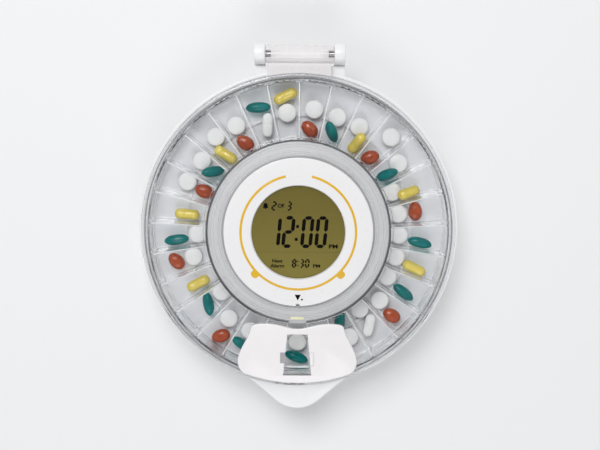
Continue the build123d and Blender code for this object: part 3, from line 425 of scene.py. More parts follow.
moulded("dullBrass", None, (0.60, 0.44, 0.18), (0.48, 0.34, 0.14), 0.3, metal=1.0, grain=2500)
moulded("cellJacket", None, (0.02, 0.022, 0.025), (0.05, 0.05, 0.052), 0.3, metal=0.4, coat=0.5)
moulded("tabletPowder", "tablet_white", (0.88, 0.88, 0.87), (0.84, 0.84, 0.825), 0.62, bump=0.25, grain=1500,
        mottle=260, soft=0.15)
moulded("tealGel", "teal_shell", (0.0, 0.21, 0.20), (0.0, 0.13, 0.127), 0.12, coat=0.15, mottle=120, soft=0.1,
        bump=0.01, ior=1.33, glow=(0.03, 0.72, 0.70), glowShare=0.55)
moulded("yellowGel", "yellow_shell", (0.82, 0.68, 0.14), (0.76, 0.60, 0.10), 0.2, coat=0.5, mottle=120,
        soft=0.3, bump=0.01, glow=(0.90, 0.86, 0.45), glowShare=0.35)
moulded("orangeGel", "orange_shell", (0.47, 0.085, 0.022), (0.34, 0.05, 0.014), 0.14, coat=0.2, mottle=200,
        soft=0.2, bump=0.02, glow=(0.85, 0.45, 0.38), glowShare=0.4)
thickClear("trayClear", "clear_plastic", (0.988, 0.991, 0.996), 0.03, bump=0.02, passing=(0.992, 0.994, 0.997))
thickClear("lidClear", "clear_plastic", (0.993, 0.995, 0.998), 0.015, bump=0.02, passing=(0.992, 0.994, 0.997))
thickClear("gearClear", None, (0.9, 0.91, 0.92), 0.3, through=0.7)
thinClear("ringClear", "clear_plastic", (0.80, 0.80, 0.81), 0.2, 0.5)
# whitish painted highlight for the dividers' tops
thinClear("highlightWhite", "clear_plastic", (0.93, 0.93, 0.935), 0.3, 0.7)
# grey painted shade for the dark line in the lid's corner
thinClear("cornerShadeGrey", "clear_plastic", (0.22, 0.22, 0.23), 0.3, 0.5)
thinClear("frostedBar", "clear_plastic", (0.90, 0.875, 0.875), 0.22, 0.62)
thinClear("lensClear", None, (0.02, 0.02, 0.018), 0.05, 0.06)
print("materials ready")

# white tub
tub = {
    "steps": 288,
    "rimRadius": 111.0,
    "rimWidth": 2.2,
    "rimRound": 0.7,
    "rimFlare": 2.6,
    "sideWall": 2.8,
    "footWall": 2.4,
    "footInset": 9.5,
    "footTop": 5.3,
    "ledgeDrop": 4.0,       # the lid's ledge below the rim's top
    "flareHeight": 3.0,
    "straightFrom": 14.0,
    "deckDrop": 1.8,        # the deck's underside below the tops of its screws
    "deckLedge": 2.0,
    "ledgeThick": 1.6,
    "ledgeFillet": 2.0,
    "latchSide": (-14.5, 5.1),
    "latchLow": 21.2,
    "latchWall": (0.3, 0.9),        # faces of the thin wall there, outside the shell's radius
    "ribAngles": (45, 135, 225, 315),
    "ribWidth": 8.0,
    "ribReach": (20.0, 0.5),
    "ribLow": 5.05,
    "ribRound": (1.0, 0.4),
}
rimTop = nodeBox("base_shell")[1].z
tubLow = nodeBox("base_shell")[0].z
deckLow = nodeBox("deck_screws")[1].z - tub["deckDrop"]
shellRadius = tub["rimRadius"] - tub["rimFlare"]
ledgeTop = rimTop - tub["ledgeDrop"]
flareLow = ledgeTop - tub["flareHeight"]


# outside of the tub's side at a height
def sideRadius(height):
    return shellRadius + tub["rimFlare"] * min(1, max(0, (height - flareLow) / tub["flareHeight"]))


def makeTub():
    rim, rimRound = tub["rimRadius"], tub["rimRound"]
    rimIn, inner = rim - tub["rimWidth"], shellRadius - tub["sideWall"]
    start = rim - tub["footInset"]
    foot = start - tub["footWall"]
    curveTop, latchLow = tub["straightFrom"], tub["latchLow"]
    ledge, ledgeIn = deckLow - 0.02, inner - tub["deckLedge"]
    profile = [(foot, tubLow), (start, tubLow)]
    for turn in [i / 9 * math.pi / 2 for i in range(1, 10)]:        # the side curves up from the foot
        profile.append((start + (shellRadius - start) * math.sin(turn),
                        tubLow + (curveTop - tubLow) * (1 - math.cos(turn))))
    profile.append((shellRadius, latchLow))
    profile += roundCorners([(shellRadius, flareLow), (rim, ledgeTop), (rim, rimTop), (rimIn, rimTop),
                             (rimIn, ledgeTop), (inner, ledgeTop)], [0.8, 1.2, rimRound, rimRound, 0, 0.4])
    under = ledge - tub["ledgeThick"]
    profile += [(inner, latchLow), (inner, ledge), (ledgeIn, ledge), (ledgeIn, under),
                (inner, under - tub["ledgeFillet"]), (inner, curveTop), (foot, tub["footTop"])]
    (west, east), (wallIn, wallOut) = tub["latchSide"], tub["latchWall"]

    # the wall is thin behind the nose, where the latch and the cam move
    def bend(angle, radius, height):
        x, y = polar(angle, radius)
        if y < 0 and west < x < east and latchLow - 0.01 < height < ledgeTop + 0.01:
            if radius < shellRadius - 0.1:
                return shellRadius + wallIn, height
            if radius < shellRadius + 0.3:
                return shellRadius + wallOut, height
        return radius, height

    shape = lathe(profile, circle(tub["steps"]), bend)
    half, (reachIn, reachOut) = tub["ribWidth"] / 2, tub["ribReach"]
    for angle in tub["ribAngles"]:
        rib = roundedBox(inner - reachIn, inner + reachOut, -half, half, tub["ribLow"], ledge - 0.05,
                         *tub["ribRound"])
        shape.add(rib, turned(angle))
    newPiece("tubWall", shape, "base", "whitePlastic", ["base_shell"], 40)


makeTub()
print("tub done")

# nose in front of the tub, round the lock
nose = {
    "halfWidth": 35.0,
    "tip": -128.3,
    "tipRadius": 23.0,
    "top": 41.0,
    "low": 11.0,
    "sink": 1.0,
    "taper": 8.0,
    "edge": 1.8,            # rounding of the top edge
    "steps": 6,
    "loopSteps": (48, 12, 24),      # round the tip, along each side and across the back
    "lowEdge": ((0.35, 0.35), (1.2, 0)),        # shrink and rise
    "wall": 2.4,
    "innerBack": 3.0,
    "outerLevels": (37.5, 36.0, 34.5, 33.0, 26.0, 19.0, 12.2),
    "innerLevels": (38.6, 30.0, 20.0, 13.4),
    "hollow": (13.0, -119.3),       # radius and back of each round about the lock
    "recess": (10.4, -125.3),
    "bore": (8.5, -105.0),
    "lockHeight": 26.0,
    "dot": (2.4, -109.9),
    "dotSize": 0.6,
}


# outline of the nose at a height, from its right side round the tip and back along the tub
def noseLoop(shrink, height, back=0.25):
    half, radius = nose["halfWidth"] - shrink, nose["tipRadius"] - shrink
    centre = nose["tip"] + nose["tipRadius"]
    root = -math.sqrt(tub["rimRadius"] ** 2 - nose["halfWidth"] ** 2) + nose["sink"]
    turn = math.atan2(root - centre, half) - math.acos(radius / math.hypot(half, root - centre))
    wall = sideRadius(height) - back
    end = Vector((half, -math.sqrt(wall ** 2 - half ** 2)))
    span = math.asin(half / wall)
    tips, sides, backs = nose["loopSteps"]
    tip = [Vector((radius * math.cos(a), centre + radius * math.sin(a)))
           for a in [turn - (2 * turn + math.pi) * i / tips for i in range(tips + 1)]]
    left = [Vector((-end.x, end.y)) * (i / sides) + tip[-1] * (1 - i / sides) for i in range(1, sides + 1)]
    behind = [Vector((wall * math.sin(a), -wall * math.cos(a)))
              for a in [-span + 2 * span * i / backs for i in range(1, backs)]]
    right = [end * (1 - i / sides) + tip[0] * (i / sides) for i in range(sides)]
    return lifted(tip + left + behind + right, height)


def lockRod(name):
    radius, back = nose[name]
    return rodAlongY(radius, 0, nose["lockHeight"], nose["tip"] - 2, back)


def makeNose():
    slope = math.tan(math.radians(nose["taper"]))
    top, low, edge = nose["top"], nose["low"], nose["edge"]
    outer = []
    for i in range(nose["steps"] + 1):
        turn = math.pi / 2 * i / nose["steps"]
        drop = edge * (1 - math.cos(turn))
        outer.append(noseLoop(edge * (1 - math.sin(turn)) + drop * slope, top - drop))
    outer += [noseLoop((top - height) * slope, height) for height in nose["outerLevels"]]
    outer += [noseLoop((top - low) * slope + shrink, low + rise) for shrink, rise in nose["lowEdge"]]
    inner = [noseLoop((top - height) * slope + nose["wall"], height, nose["innerBack"])
             for height in nose["innerLevels"]]
    hollow = carved(skin(inner), [lockRod("hollow")])
    newPiece("noseShell", carved(skin(outer), [hollow, lockRod("recess"), lockRod("bore")]), "base",
             "whitePlastic", ["nose_housing"], 42)
    # black dot where a small hole shows dark: painted shade
    (x, y), size = nose["dot"], nose["dotSize"]
    spot = roundCorners(rect(x - size, x + size, y - size, y + size), size * 0.9)
    newPiece("pinholeShade", slab(spot, rimTop - 0.1, rimTop + 0.15, 0.1), "base", "blackInk")


makeNose()
print("nose done")

# hinge at the back
hinge = {
    "span": 62.0,
    "knuckle": 7.6,
    "knuckleRadius": 7.0,
    "knuckleFoot": ((114.0, 34.5), (112.0, 34.2), (111.15, 35.0), (111.15, 37.6), (111.9, 38.4)),
    "axisY": 121.3,
    "axisZ": 41.5,
    "edge": 0.9,
    "pin": 2.06,
    "pinEnd": 1.4,
    "pinHead": (0.9, 0.7),      # a head's bore: wider by, and depth
    "railLow": 27.0,
    "railOut": 113.6,
    "barRadius": 6.45,
    "barSink": 0.3,         # the bar's face below that radius, between its ridges
    "barHalf": 23.1,
    "barEdge": 0.5,
    "barEnds": ((0, 0.93), (0.3, 0.978), (1, 1)),       # share of the edge, and scale
    "barBore": 7.3,
    "ridgeWidth": 0.28,
    "ridges": ((126.3, 0.28), (123.1, 0.22), (120.9, 0.25), (118.4, 0.25), (115.2, 0.2)),
    "notch": (3.6, 2.4, 0.2),       # depth, half width and floor above the axis
    "tongueLow": 42.4,
    "tongueHigh": 46.6,
    "tongueHalf": 21.5,
    "tongueBack": 115.1,
    "tongueEdge": 0.6,
}
axisY, axisZ = hinge["axisY"], hinge["axisZ"]


# side view of a knuckle, as (y, z): round behind, running down to the tub's rim
def knuckleSide():
    axis = Vector((axisY, axisZ))
    side = [axis + Vector(polar(206 - 296 * i / 40, hinge["knuckleRadius"])) for i in range(41)]
    return [tuple(p) for p in side] + list(hinge["knuckleFoot"])


# points on a circle about Z, straight across from -half to half
def frontArc(half, radius):
    return [(half * i / 12, math.sqrt(radius ** 2 - (half * i / 12) ** 2)) for i in range(-12, 13)]


def makeHinge():
    half, edge = hinge["span"] / 2, hinge["edge"]
    inner = half - hinge["knuckle"]
    shape, bores = Shape(), []
    wider, deep = hinge["pinHead"]
    for way in (-1, 1):
        shape.add(skin([[(way * x, y, z) for y, z in inset(knuckleSide(), shrink)]
                        for shrink, x in levels(inner, half, edge, edge)]))
        bores.append(rodAlongX(hinge["pin"], axisY, axisZ, way * (inner - 1), way * (half - hinge["pinEnd"])))
        bores.append(rodAlongX(hinge["pin"] + wider, axisY, axisZ, way * (half - deep), way * (half + 1)))
    newPiece("hingeKnuckles", carved(shape, bores), "base", "whitePlastic", ["hinge_bracket"], 40)

    # rail behind the rim that carries the knuckles
    loops = []
    low, high = hinge["railLow"], rimTop - 0.15
    for shrink, height in ((0.8, low), (0, low + 0.8), (0, flareLow), (0, ledgeTop), (0, high - 0.7),
                           (0.2, high - 0.2), (0.7, high)):
        x, out = half - shrink, hinge["railOut"] - shrink
        back = [(x, out - 0.6), (x - 0.6, out), (0.6 - x, out), (-x, out - 0.6)]
        loops.append(lifted(frontArc(x, sideRadius(height) - 0.25) + back, height))
    newPiece("hingeRail", skin(loops), "base", "whitePlastic", crease=40)

    # clear bar that turns with the lid, ridged along its length
    profile = []
    for angle in circle(120):
        across, up = polar(angle, hinge["barRadius"])
        grow = 0
        if up > 0:
            for place, height in hinge["ridges"]:
                grow += height * math.exp(-((across + axisY - place) / hinge["ridgeWidth"]) ** 2)
        profile.append(polar(angle, hinge["barRadius"] - hinge["barSink"] + grow))
    end, edge = hinge["barHalf"], hinge["barEdge"]
    ends = [(end - edge * share, scale) for share, scale in hinge["barEnds"]]
    loops = [[(x, axisY + y * scale, axisZ + z * scale) for y, z in profile]
             for x, scale in [(-x, scale) for x, scale in ends] + ends[::-1]]
    depth, reach, floor = hinge["notch"]
    cuts = []
    for way in (-1, 1):
        cuts.append(rodAlongX(hinge["pin"], axisY, axisZ, way * (end - hinge["barBore"]), way * (end + 1)))
        x0, x1 = sorted((way * (end - depth), way * (end + 1)))
        cuts.append(prism(rect(x0, x1, axisY - reach, axisY + reach), axisZ + floor, axisZ + 9))
    newPiece("hingeBar", carved(skin(loops), cuts), "lid", "frostedBar", ["lid_hinge_arm"], 35)
    edge, loops = hinge["tongueEdge"], []
    for shrink, height in levels(hinge["tongueLow"], hinge["tongueHigh"], edge, edge):
        x, back = hinge["tongueHalf"] - shrink, hinge["tongueBack"]
        loops.append(lifted(frontArc(x, nodeBox("lid_top")[1].x + 0.05) + [(x, back), (-x, back)], height))
    newPiece("hingeTongue", skin(loops), "lid", "frostedBar", crease=35)


makeHinge()
print("hinge done")

# dial with its printed ring and its pointer
dial = {
    "radius": 51.6,
    "top": 50.0,
    "thick": 2.0,
    "edge": 0.8,
    "lensRadius": 32.75,
    "lensDrop": 1.45,
    "openRadius": 32.25,
    "notch": 1.6,
    "proud": 0.1,           # printing above the dial
    "ringRadius": 39.7,
    "ringWidth": 1.65,
    "ringBreak": 13.0,
    "ringSteps": 220,
    "padReach": 44.1,
    "padWidth": 5.6,
    "padTurn": 45.5,
    "postCircle": 39.5,
    "postRadius": 2.4,
    "postDrop": 6.35,
    "pointer": ((-2.1, -43.4), (2.1, -43.4), (0, -47.5)),
    "dot": (2.9, -46.8, 0.65),
}


# outline of the yellow ring, broken at the back, with two pads that stand out of it
def ringOutline():
    inner = dial["ringRadius"] - dial["ringWidth"] / 2
    outer = dial["ringRadius"] + dial["ringWidth"] / 2
    half, reach, steps = dial["padWidth"] / 2, dial["padReach"], dial["ringSteps"]
    start, sweep = 90 - dial["ringBreak"], 360 - 2 * dial["ringBreak"]
    padSpan = math.degrees(math.asin(half / outer))
    angles = [start - sweep * i / steps for i in range(steps + 1)]
    around = [polar(a, outer) for a in angles
              if all(abs(a + 90 + turn) >= padSpan for turn in (dial["padTurn"], -dial["padTurn"]))]
    outline = []
    for p, after in zip(around, around[1:] + around[-1:]):
        outline.append(p)
        if (Vector(p) - Vector(after)).length > 3:          # a pad fills the gap
            turn = (math.degrees(math.atan2(p[1], p[0])) + math.degrees(math.atan2(after[1], after[0]))) / 2
            along, across = Vector(polar(turn, 1)), Vector(polar(turn + 90, 1))
            edge = [(outer + 0.4, 1), (reach - 1.6, 1), (reach - 0.7, 0.82), (reach, 0.45)]
            for far, side in edge + [(far, -side) for far, side in reversed(edge)]:
                outline.append(tuple(along * far + across * side * half))
    return outline + [polar(start - sweep * (1 - i / steps), inner) for i in range(steps + 1)]


def makeDial():
    radius, lens, opening = dial["radius"], dial["lensRadius"], dial["openRadius"]
    top = dial["top"]
    low, seat = top - dial["thick"], top - dial["lensDrop"]
    profile = roundCorners([(opening, low), (radius, low), (radius, top), (lens, top), (lens, seat),
                            (opening, seat)], [0.2, 0.3, dial["edge"], 0.3, 0, 0.2])
    # closer points across the notch
    angles = sorted(circle(240) + [270 + 0.18 * i for i in range(-12, 13) if abs(0.18 * i) % 1.5 > 0.02])

    # small round notch at the front of the edge
    def bend(angle, radius, height):
        x, y = polar(angle, radius)
        if radius > 48 and abs(x) < dial["notch"] and y < 0:
            radius -= math.sqrt(dial["notch"] ** 2 - x ** 2)
        return radius, height

    shape = lathe(profile, angles, bend)
    for i in range(4):
        x, y = polar(90 * i, dial["postCircle"])
        shape.add(slab(disc(x, y, dial["postRadius"], 32), low - dial["postDrop"], low + 0.3, 0, 0.2))
    newPiece("dialPlate", shape, "base", "dialWhite", ["dial_plate"], 36)
    low, high = top - 0.1, top + dial["proud"]
    newPiece("dialRing", slab(ringOutline(), low, high, 0.05, 0), "base", "yellowInk", ["dial_ring"])
    shape = slab(roundCorners(dial["pointer"], 0.15), low, high, 0.04, 0)
    shape.add(slab(disc(*dial["dot"], 24), low, high, 0.04, 0))
    newPiece("dosePointer", shape, "base", "blackInk", ["dose_pointer"])


# grey ring in the gap round the dial: painted shade standing in for the dark gap
dialGapShade = {
    "inner": 51.65,
    "outer": 52.55,
    "low": 47.6,
    "top": 48.9,
    "round": 0.35,
}


def makeDialGapShade():
    profile = roundCorners(rect(dialGapShade["inner"], dialGapShade["outer"], dialGapShade["low"], dialGapShade["top"]), dialGapShade["round"])
    newPiece("dialGapShadeRing", lathe(profile, circle(240)), "base", "shadeGrey")


makeDial()
makeDialGapShade()
print("dial done")

# display under its lens: places are from the dial's centre
display = {
    "radius": 34.9,
    "top": 48.0,
    "thick": 2.35,
    "ink": 0.05,
    "segmentGap": 0.11,     # at a segment's end, over its thickness
    "capHeight": 0.72,      # of the built-in typeface, over its size
    "lean": 0.09,           # how far the figures lean, sideways over height
    "figures": (            # figure, left, bottom, width, height and bar
        ("1", -21.2, -10.9, 8.2, 22.2, 2.5), ("2", -11.9, -10.9, 8.2, 22.2, 2.5),
        ("0", 1.1, -10.9, 8.2, 22.2, 2.5), ("0", 10.9, -10.9, 8.2, 22.2, 2.5),
        ("2", -18.8, 14.9, 3.5, 6.6, 1.2), ("3", -8.2, 14.9, 3.3, 6.6, 1.2),
        ("8", -4.6, -24.8, 3.3, 6.3, 1.2), ("3", 0.9, -24.8, 3.0, 6.3, 1.2),
        ("0", 4.4, -24.8, 3.3, 6.3, 1.2)),
    "colon": (-4.9, 4.1),
    "colonDot": (-1.9, 0.1, 1.0),       # left, right and half height
    "smallColon": (-23.2, -20.4),
    "smallDot": (-0.5, 0.3, 0.4),
    "words": (              # word, left, base line, size, boldness and width
        ("OF", -14.3, 17.1, 2.6, 0.12, 4.6), ("PM", 21.2, -10.9, 2.7, 0.13, 6.1),
        ("Next", -17.9, -21.1, 2.3, 0.10, 7.2), ("Alarm", -19.2, -24.6, 2.4, 0.10, 9.6),
        ("PM", 10.4, -24.5, 2.3, 0.10, 4.9)),
    "bellPlace": (-22.6, 18.2),
    "bell": ((-2.0, -1.5), (-1.5, -0.9), (-1.45, 0.6), (-1.0, 1.6), (-0.35, 2.0), (0.35, 2.0), (1.0, 1.6),
             (1.45, 0.6), (1.5, -0.9), (2.0, -1.5), (0.6, -1.5), (0.4, -2.1), (-0.4, -2.1), (-0.6, -1.5)),
    "lines": (14.0, -13.8),
    "lineRadius": 32.2,
    "lineHalf": 0.14,
}
segmentsOf = {"0": "abcdef", "1": "bc", "2": "abged", "3": "abgcd", "8": "abcdefg"}


def addInk(shape, outline):
    shape.add(prism(outline, display["top"] + 0.01, display["top"] + display["ink"]))


# one seven-segment figure whose lower left corner is at x, y
def addFigure(shape, figure, x, y, wide, tall, bar):
    space, half = bar * display["segmentGap"], bar / 2
    left, right = x + half, x + wide - half
    low, middle, high = y + half, y + tall / 2, y + tall - half
    segments = {"a": (left, right, high), "g": (left, right, middle), "d": (left, right, low),
                "f": (middle, high, left), "b": (middle, high, right), "e": (low, middle, left),
                "c": (low, middle, right)}
    for name in segmentsOf[figure]:
        start, end, level = segments[name]
        near, far = start + half + space, end - half - space
        outline = [(start + space, level), (near, level + half), (far, level + half), (end - space, level),
                   (far, level - half), (near, level - half)]
        if name not in "agd":           # upright ones
            outline = [(across, along) for along, across in outline]
        addInk(shape, [(px + (py - y) * display["lean"], py) for px, py in outline])


# a plain word in the built-in typeface, turned into a mesh
def addWord(shape, text, x, y, tall, weight, wide):
    curve = bpy.data.curves.new(text, "FONT")
    curve.body = text
    curve.size = tall / display["capHeight"]
    curve.offset = weight
    curve.extrude = display["ink"] / 2
    curve.resolution_u = 3
    holder = newObject(text, curve)
    bpy.context.view_layer.update()
    mesh = holder.to_mesh()
    verts = [v.co.copy() for v in mesh.vertices]
    faces = [tuple(p.vertices) for p in mesh.polygons]
    holder.to_mesh_clear()
    bpy.data.objects.remove(holder)
    bpy.data.curves.remove(curve)
    left = min(v.x for v in verts)
    scale = wide / (max(v.x for v in verts) - left)
    lift = display["top"] + 0.035
    shape.add(Shape([((v.x - left) * scale + x, v.y + y, v.z + lift) for v in verts], faces))


def makeDisplay():
    top, radius = display["top"], display["radius"]
    profile = roundCorners(rect(0.0001, radius, top - display["thick"], top), [0, 0.2, 0.2, 0])
    newPiece("displayPanel", lathe(profile, circle(128)), "base", "lcdOlive", ["lcd_panel"])
    ink = Shape()
    for figure in display["figures"][:4]:
        addFigure(ink, *figure)
    left, right, half = display["colonDot"]
    for y in display["colon"]:
        shift = y * display["lean"]
        addInk(ink, rect(shift + left, shift + right, y - half, y + half))
    for figure in display["figures"][4:]:
        addFigure(ink, *figure)
    left, right, half = display["smallDot"]
    for y in display["smallColon"]:
        addInk(ink, rect(left, right, y - half, y + half))
    for word in display["words"]:
        addWord(ink, *word)
    bellX, bellY = display["bellPlace"]
    addInk(ink, [(x + bellX, y + bellY) for x, y in display["bell"]])
    newPiece("displayInk", ink, "base", "blackInk")
    rule, half = Shape(), display["lineHalf"]
    for y in display["lines"]:
        reach = math.sqrt(display["lineRadius"] ** 2 - y ** 2)
        addInk(rule, rect(-reach, reach, y - half, y + half))
    newPiece("displayRules", rule, "base", "lcdLine")


makeDisplay()
print("display done")

# clear tray of pockets
tray = {
    "pockets": 29,
    "inner": 62.0,
    "outer": 104.4,
    "pocketInner": 64.0,
    "pocketOuter": 102.8,
    "low": 23.0,
    "floor": 25.0,
    "top": 46.0,
    "drop": 0.5,            # dividers stop this far below the walls
    "divider": 0.6,         # half of a divider
    "draft": 0.35,
    "mouth": 0.5,
    "fillet": 1.3,
    "corner": 1.6,
    "edge": 0.35,
    "track": (78.7, 81.3, 24.1),
    # the whitish strip along each divider's top is a painted highlight
    "highlightStrip": (64.6, 102.2, 0.34, 0.1),       # whitish top edge of a divider: from, to, half width and rise
}
pitch = 360 / tray["pockets"]
halfPitch = math.radians(pitch / 2)


# a point at a turn in radians
def spin(radius, turn):
    return Vector((radius * math.cos(turn), radius * math.sin(turn)))


# outline of one pocket about the X axis, walls moved in by shrink
def pocketLoop(shrink, corner):
    d = tray["divider"] + shrink
    cosine, sine = math.cos(halfPitch), math.sin(halfPitch)

    def side(t, way):
        return Vector((t * cosine + d * sine, way * (t * sine - d * cosine)))

    def turnIn(a, b, c):
        return [a * (1 - t) ** 2 + b * 2 * t * (1 - t) + c * t ** 2 for t in (0, 0.25, 0.5, 0.75, 1)]

    ends = []
    for r in (tray["pocketInner"] + shrink, tray["pocketOuter"] - shrink):
        ends.append((r, math.sqrt(r ** 2 - d ** 2), halfPitch - math.asin(d / r) - corner / r))
    loop = []
    for way, (r0, t0, a0), (r1, t1, a1) in ((1, *ends), (-1, *reversed(ends))):
        step = way * corner
        loop += turnIn(spin(r0, way * a0), side(t0, way), side(t0 + step, way))
        loop += [side(t0 + step + (t1 - t0 - 2 * step) * i / 9, way) for i in range(1, 9)]
        loop += turnIn(side(t1 - step, way), side(t1, way), spin(r1, way * a1))
        loop += [spin(r1, way * a1 * (1 - i / 4)) for i in range(1, 8)]
    return loop


# the same count of points round the sector that holds the pocket
def sectorLoop(rIn, rOut):
    radii = [rIn + 1.2, rIn + 2.4] + [rIn + 2.4 + (rOut - rIn - 4.8) * i / 9 for i in range(1, 9)]
    radii += [rOut - 2.4, rOut - 1.2]
    arcs = [0.80, 0.90, 1.0]
    loop = []
    for way, near, far, across in ((1, rIn, rOut, radii), (-1, rOut, rIn, radii[::-1])):
        loop += [spin(near, halfPitch * way * s) for s in arcs] + [spin(r, halfPitch * way) for r in across]
        loop += [spin(far, halfPitch * way * s) for s in arcs[::-1] + [0.80 * (1 - i / 4) for i in range(1, 8)]]
    return loop


# height of the tray's top at a point: the walls' or, past them, the dividers'
def mouthHeight(p, lower=0.0):
    nearWall = min(p.length - tray["pocketInner"], tray["pocketOuter"] - p.length)
    return tray["top"] - lower - tray["drop"] * min(1, max(0, (nearWall - 0.1) / 0.4))


def makeTray():
    top, floor, low, edge = tray["top"], tray["floor"], tray["low"], tray["edge"]
    inner, outer, corner = tray["inner"], tray["outer"], tray["corner"]
    mouth, draft, depth = tray["mouth"], tray["draft"], tray["fillet"]
    outline = sectorLoop(inner + edge, outer - edge)
    loops = [[(p.x, p.y, mouthHeight(p)) for p in outline]]
    for shrink, lower in ((1, 0), (0.62, 0.08), (0.29, 0.29), (0.08, 0.62), (0, 1)):
        loops.append([(p.x, p.y, mouthHeight(p, mouth * lower)) for p in pocketLoop(-mouth * shrink, corner)])
    loops.append(lifted(pocketLoop(draft * 0.9, corner), floor + depth))
    for i in range(1, 5):
        turn = math.pi / 2 * i / 4
        loops.append(lifted(pocketLoop(draft + depth * (1 - math.cos(turn)), corner),
                            floor + depth * (1 - math.sin(turn))))
    pocket = skin(loops, capStart=False)
    # strip that runs over the outside, the underside and the inside
    trackIn, trackOut, trackTop = tray["track"]
    third = edge * 0.3
    rows = [(outer - edge, top), (outer - third, top - third), (outer, top - edge), (outer, low + edge),
            (outer - edge, low), (trackOut, low), (trackOut, trackTop), (trackIn, trackTop), (trackIn, low),
            (inner + edge, low), (inner, low + edge), (inner, top - edge), (inner + third, top - third),
            (inner + edge, top)]
    turns = sorted({round(math.atan2(p.y, p.x), 9) for p in outline if abs(p.length - outer + edge) < 1e-6})
    verts = [(r * math.cos(a), r * math.sin(a), z) for a in turns for r, z in rows]
    width = len(rows)
    faces = [(i * width + k, (i + 1) * width + k, (i + 1) * width + k + 1, i * width + k + 1)
             for i in range(len(turns) - 1) for k in range(width - 1)]
    strip = Shape(verts, faces)
    shape = Shape()
    for i in range(tray["pockets"]):
        shape.add(pocket, turned(-90 + i * pitch)).add(strip, turned(-90 + i * pitch))
    newPiece("pocketTray", shape, "tray", "trayClear",
             ["tray_floor", "tray_outer_wall", "tray_inner_wall", "tray_dividers"], 30)


# whitish strips on the dividers' tops: painted highlight
def makeDividerHighlights():
    near, far, half, rise = tray["highlightStrip"]
    seat = tray["top"] - tray["drop"]
    strip = roundedBox(near, far, -half, half, seat - 0.05, seat + rise, 0.15, 0.05)
    shape = Shape()
    for i in range(tray["pockets"]):
        shape.add(strip, turned(-90 + (i + 0.5) * pitch))
    newPiece("dividerHighlights", shape, "tray", "highlightWhite")


makeTray()
makeDividerHighlights()
print("tray done")

# index ring on the tray's inner wall
index = {
    "inner": 52.8,
    "outer": 62.4,
    "top": 47.9,
    "low": 45.0,
    "seat": (61.9, 64.0, 46.0, 46.8),
    "grooves": (60.6, 58.9, 55.4, 54.1),
    "grooveDepth": 0.35,
    "grooveHalf": 0.28,
    "markRadius": 57.2,
    "markHeight": 0.16,
    "markHalf": 0.22,
    "markLengths": (0.8, 1.5),      # half lengths, drawn between these
    "markCounts": (2, 3, 3, 4),
    "markFrom": 3.2,        # turn of a pocket's first mark and from one mark to the next
    "markPitch": 1.15,
    "tab": (-4.8, 4.4, -61.35, -59.65),
}


def makeIndexRing():
    top, low, inner, outer = index["top"], index["low"], index["inner"], index["outer"]
    seatIn, seatOut, seatLow, seatTop = index["seat"]
    profile = [(inner + 0.2, low), (seatIn, low), (seatIn, seatLow + 0.02), (seatOut, seatLow + 0.02),
               (seatOut, seatTop), (outer, seatTop), (outer, top - 0.3), (outer - 0.1, top - 0.1),
               (outer - 0.3, top)]
    half = index["grooveHalf"]
    for groove in index["grooves"]:
        profile += [(groove + half, top), (groove, top - index["grooveDepth"]), (groove - half, top)]
    profile += [(inner + 0.3, top), (inner + 0.1, top - 0.1), (inner, top - 0.3), (inner, low + 0.2)]
    newPiece("indexRing", lathe(profile, circle(232)), "tray", "ringClear", ["dosage_ring"], 30)
    # raised strokes, one group to a pocket
    marks, middle, half = Shape(), index["markRadius"], index["markHalf"]
    for i in range(tray["pockets"]):
        for k in range(random.choice(index["markCounts"])):
            long = random.uniform(*index["markLengths"])
            stroke = roundedBox(middle - long, middle + long, -half, half, top - 0.05,
                                top + index["markHeight"], 0.15, 0.06)
            marks.add(stroke, turned(-90 + i * pitch + index["markFrom"] + k * index["markPitch"]))
    newPiece("indexMarks", marks, "tray", "ringClear")
    newPiece("startTab", roundedBox(*index["tab"], top - 0.05, top + 0.2, 0.4, 0.08), "tray", "paleYellow")


makeIndexRing()
print("index ring done")

# clear lid, with a dark grey bead round its opening and a grey line in the corner of its side wall; both are
# painted shade, standing in for the dark gap at the opening and the dark line in the corner
lid = {
    "radius": 108.5,
    "wall": 2.3,
    "under": 47.2,
    "top": 49.4,
    "skirtLow": 36.3,
    "opening": 63.8,
    "lip": (65.4, 50.4),
    "lipBreak": (5.8, -68.0, -60.0),        # half width and reach
    "edge": 1.8,
    "window": ((8.15, -70.25), (10.95, -101.85)),
    # the bead is painted shade in the gap between the opening and the index ring
    "bead": (63.2, 48.3, 0.55),         # radius, height and thickness
    # the corner line is painted shade, a dark line where the side wall meets the top
    "cornerShadeLine": (105.75, 46.95, 0.5),
}


# upright form whose sides slant from the near corner to the far one
def slantForm(window, grow, low, high):
    (nearX, nearY), (farX, farY) = window
    return prism([(-nearX - grow, nearY + grow), (nearX + grow, nearY + grow), (farX + grow, farY - grow),
                  (-farX - grow, farY - grow)], low, high)


